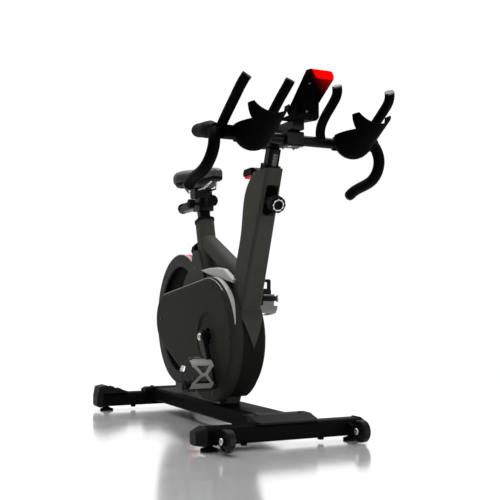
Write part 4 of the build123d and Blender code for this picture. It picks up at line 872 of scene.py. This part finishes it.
for side in ("right", "left"):
    strap, length = strap_ribbon("strap_" + side, pedal_place(side))
    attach(strap, side + "_pedal")
    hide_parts("toe_strap_" + side)
    print(side, "strap", round(length * 1000), "mm long")

# %% [markdown]
# A cam buckle on the strap's outer side is a pressed steel frame with a roller that bites the webbing. A
# block with its outer face inset and pushed in makes the frame, its edges bevelled, and a thin rod is the
# roller.

# %% Strap buckles
BUCKLE = (0.0245, 0.0052, 0.0170)
BUCKLE_AT = (STRAP_AHEAD, 0.0452, 0.0540)
BUCKLE_LEAN = math.radians(19.0)
BUCKLE_FRAME = 0.0034
BUCKLE_SINK = 0.0018
BUCKLE_EDGE = 0.0006
SHARP_ANGLE = 0.6
FACING_OUT = 0.9
ROLLER_R = 0.0021
ROLLER_LONG = 0.0185
ROLLER_AT = (0.0, 0.0022, -0.001)


def strap_buckle(name, place, side):
    """Frame and roller laid out beside the spindle and then put on one pedal's outer side."""
    mesh = bmesh.new()
    bmesh.ops.create_cube(mesh, size=1.0)
    bmesh.ops.scale(mesh, vec=BUCKLE, verts=mesh.verts)
    outer = [face for face in mesh.faces if face.normal.y > FACING_OUT]
    bmesh.ops.inset_region(mesh, faces=outer, thickness=BUCKLE_FRAME)
    bmesh.ops.translate(mesh, vec=(0.0, -BUCKLE_SINK, 0.0), verts=outer[0].verts)
    sharp = [edge for edge in mesh.edges if edge.calc_face_angle(0.0) > SHARP_ANGLE]
    round_edges(mesh, sharp, BUCKLE_EDGE, segments=2)
    lie_across = Matrix.Translation(ROLLER_AT) @ Matrix.Rotation(math.radians(90.0), 4, "Y")
    bmesh.ops.create_cone(
        mesh, cap_ends=True, segments=16, radius1=ROLLER_R, radius2=ROLLER_R, depth=ROLLER_LONG,
        matrix=lie_across,
    )
    lean_in = Matrix.Translation(BUCKLE_AT) @ Matrix.Rotation(BUCKLE_LEAN, 4, "X")
    bmesh.ops.transform(mesh, matrix=lean_in, verts=mesh.verts)
    if side == "right":
        bmesh.ops.scale(mesh, vec=(1.0, -1.0, 1.0), verts=mesh.verts)
    bmesh.ops.transform(mesh, matrix=place, verts=mesh.verts)
    bmesh.ops.recalc_face_normals(mesh, faces=mesh.faces)
    return finished(mesh, name, bolt_steel, smooth=False)


for side in ("right", "left"):
    buckle = strap_buckle("buckle_" + side, pedal_place(side), side)
    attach(buckle, side + "_pedal")
    print(buckle.name, len(buckle.data.polygons), "faces")

# %% [markdown]
# The knob's barrel stands in a recess of the column, and the recess is darkened with painted shade. A thin
# near-black block with its four corners bevelled into rounds gives the shade. It lies on the recess floor,
# square to the knob's axis and a set way behind the knob's ring.

# %% Recess painted shade
SHADE_SHEET_SIZE = (0.0012, 0.0370, 0.0905)
SHADE_SHEET_ROUND = 0.0180
SHADE_SHEET_BEHIND = 0.0599

lean = math.atan2(post_axis.x, post_axis.z)
knob_axis = Vector((math.cos(lean), 0.0, -math.sin(lean)))
ring_low, ring_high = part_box("bar_knob_ring")
ring_centre = (ring_low + ring_high) / 2

shade_sheet_mesh = bmesh.new()
bmesh.ops.create_cube(shade_sheet_mesh, size=1.0)
bmesh.ops.scale(shade_sheet_mesh, vec=SHADE_SHEET_SIZE, verts=shade_sheet_mesh.verts)
corners = [edge for edge in shade_sheet_mesh.edges if edge.verts[0].co.x * edge.verts[1].co.x < 0.0]
round_edges(shade_sheet_mesh, corners, SHADE_SHEET_ROUND, segments=10)
shade_sheet_at = ring_centre - knob_axis * SHADE_SHEET_BEHIND
lean_with_column = Matrix.Translation(shade_sheet_at) @ Matrix.Rotation(lean, 4, "Y")
bmesh.ops.transform(shade_sheet_mesh, matrix=lean_with_column, verts=shade_sheet_mesh.verts)
# A near-black sheet on the recess floor: painted shade where the recess lies in shadow.
shade_sheet = finished(shade_sheet_mesh, "recess_shade_sheet", cup_grain, smooth=False)
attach(shade_sheet, "frame")
print("insert faces", len(shade_sheet.data.polygons))

# %% [markdown]
# A painted highlight runs along the drive cover's upper edge and meets the band at its front, drawn as a
# fine line in the silver finish. The cover's outline is two rounds, a small one about the flywheel's axle
# and a large one at the front, with a straight run along both. The highlight follows the straight run and
# then the large round on the middle of the rounded edge, as a thin curve with a round bevel that becomes a
# mesh.

# %% Cover edge highlight
EDGE_HIGHLIGHT_R = 0.0009
EDGE_IN = 0.0038
EDGE_DEEP = 0.0041
ROUND_DEGREES = 45
DEGREE_STEP = 3

cover_low, cover_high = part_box("right_cover")
front_radius = (cover_high.z - cover_low.z) / 2
front_centre = Vector((cover_high.x - front_radius, cover_low.y, (cover_low.z + cover_high.z) / 2))
tail_centre = Vector((wheel_centre.x, cover_low.y, wheel_centre.z))
tail_radius = tail_centre.x - cover_low.x
apart = front_centre - tail_centre
slope = math.atan2(apart.z, apart.x) + math.asin((front_radius - tail_radius) / apart.length)
top_angle = slope + math.pi / 2


def on_edge(centre, radius, angle):
    """A point on the middle of the cover's rounded edge."""
    reach = radius - EDGE_IN
    return centre + Vector((reach * math.cos(angle), EDGE_DEEP, reach * math.sin(angle)))


highlight_points = [on_edge(tail_centre, tail_radius, top_angle)]
for turn in range(0, ROUND_DEGREES + 1, DEGREE_STEP):
    highlight_points.append(on_edge(front_centre, front_radius, top_angle - math.radians(turn)))
highlight_curve = bpy.data.curves.new("cover_edge_highlight", "CURVE")
highlight_curve.dimensions = "3D"
highlight_curve.bevel_depth = EDGE_HIGHLIGHT_R
highlight_curve.bevel_resolution = 3
highlight_curve.use_fill_caps = True
spline = highlight_curve.splines.new("POLY")
spline.points.add(len(highlight_points) - 1)
for point, place in zip(spline.points, highlight_points):
    point.co = (*place, 1.0)
drawn = bpy.data.objects.new("cover_line_drawn", highlight_curve)
highlight_data = bpy.data.meshes.new_from_object(drawn)
bpy.data.objects.remove(drawn)
highlight_data.materials.clear()
# The silver finish on this line is a painted highlight along the cover's rounded edge.
highlight_data.materials.append(satin_silver)
for face in highlight_data.polygons:
    face.use_smooth = True
cover_edge_highlight = linked("cover_edge_highlight", highlight_data)
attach(cover_edge_highlight, "frame")
print("cover line faces", len(highlight_data.polygons))

# %% [markdown]
# The pull knob on the column ends in a chrome ring with finger scallops. Two circles bridged and extruded
# make the ring, the outer wall is drawn in at even steps for the scallops, and a bevel rounds the rims so
# that they glint.

# %% Scalloped knob ring
RING_OUT = 0.0190
RING_IN = 0.0130
RING_HALF = 0.0025
SCALLOPS = 9
SCALLOP_DEPTH = 0.0021
RING_STEPS = 108
RIM_ROUND = 0.0011
RIM_ANGLE = 1.0

ring_mesh = bmesh.new()
bmesh.ops.create_circle(ring_mesh, segments=RING_STEPS, radius=RING_OUT)
bmesh.ops.create_circle(ring_mesh, segments=RING_STEPS, radius=RING_IN)
bmesh.ops.bridge_loops(ring_mesh, edges=ring_mesh.edges)
lifted = bmesh.ops.extrude_face_region(ring_mesh, geom=ring_mesh.faces[:])["geom"]
lifted = [item for item in lifted if isinstance(item, bmesh.types.BMVert)]
bmesh.ops.translate(ring_mesh, vec=(0.0, 0.0, 2 * RING_HALF), verts=lifted)
for vert in ring_mesh.verts:
    if vert.co.xy.length > (RING_OUT + RING_IN) / 2:
        wave = math.cos(SCALLOPS * math.atan2(vert.co.y, vert.co.x))
        vert.co.xy *= 1.0 - max(0.0, wave) * SCALLOP_DEPTH / RING_OUT
bmesh.ops.recalc_face_normals(ring_mesh, faces=ring_mesh.faces)
rims = [edge for edge in ring_mesh.edges if edge.calc_face_angle(0.0) > RIM_ANGLE]
round_edges(ring_mesh, rims, RIM_ROUND, segments=3)
face_out = knob_axis.to_track_quat("Z", "Y").to_matrix().to_4x4()
seat_ring = Matrix.Translation(ring_centre - knob_axis * RING_HALF) @ face_out
bmesh.ops.transform(ring_mesh, matrix=seat_ring, verts=ring_mesh.verts)
knob_ring = finished(ring_mesh, "knob_ring", chrome)
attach(knob_ring, "bar_lock")
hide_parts("bar_knob_ring")
print("knob ring faces", len(knob_ring.data.polygons))

# %% [markdown]
# Two small round details sit under the handlebar: a light sensor in the console's underside and a push
# button in the front of its mount. Each is a short turned disc with a bevelled rim, sunk half into the
# face that carries it.

# %% Sensor and button
CONSOLE_THICK = 0.028
SENSOR_BACK = 0.021
SENSOR_SIDE = -0.026
SENSOR_R = 0.0034
SENSOR_HIGH = 0.0024
BUTTON_SIDE = -0.0107
BUTTON_UP = 0.016
BUTTON_R = 0.0042
BUTTON_HIGH = 0.0030
RIM_SHARE = 0.3


def turned_dot(name, centre, outward, radius, height):
    """A short disc that faces outward, with its outer rim rounded."""
    mesh = bmesh.new()
    bmesh.ops.create_cone(mesh, cap_ends=True, segments=28, radius1=radius, radius2=radius, depth=height)
    rim = [edge for edge in mesh.edges if all(vert.co.z > 0.0 for vert in edge.verts)]
    round_edges(mesh, rim, height * RIM_SHARE, segments=3)
    facing = Vector(outward).to_track_quat("Z", "Y").to_matrix().to_4x4()
    bmesh.ops.transform(mesh, matrix=Matrix.Translation(centre) @ facing, verts=mesh.verts)
    bmesh.ops.recalc_face_normals(mesh, faces=mesh.faces)
    dot = finished(mesh, name, dot_grey)
    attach(dot, "handlebar_set")


mount_low, mount_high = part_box("console_mount")
under = Vector((along.z, 0.0, -along.x))
console_end = Vector((lens_low.x + CONSOLE_THICK * under.x, SENSOR_SIDE, lens_low.z))
sensor_at = console_end - along * SENSOR_BACK
button_at = (mount_high.x, BUTTON_SIDE, mount_low.z + BUTTON_UP)
turned_dot("light_sensor", sensor_at, under, SENSOR_R, SENSOR_HIGH)
turned_dot("mount_button", button_at, (1.0, 0.0, 0.0), BUTTON_R, BUTTON_HIGH)
print("sensor at", [round(value, 3) for value in sensor_at])
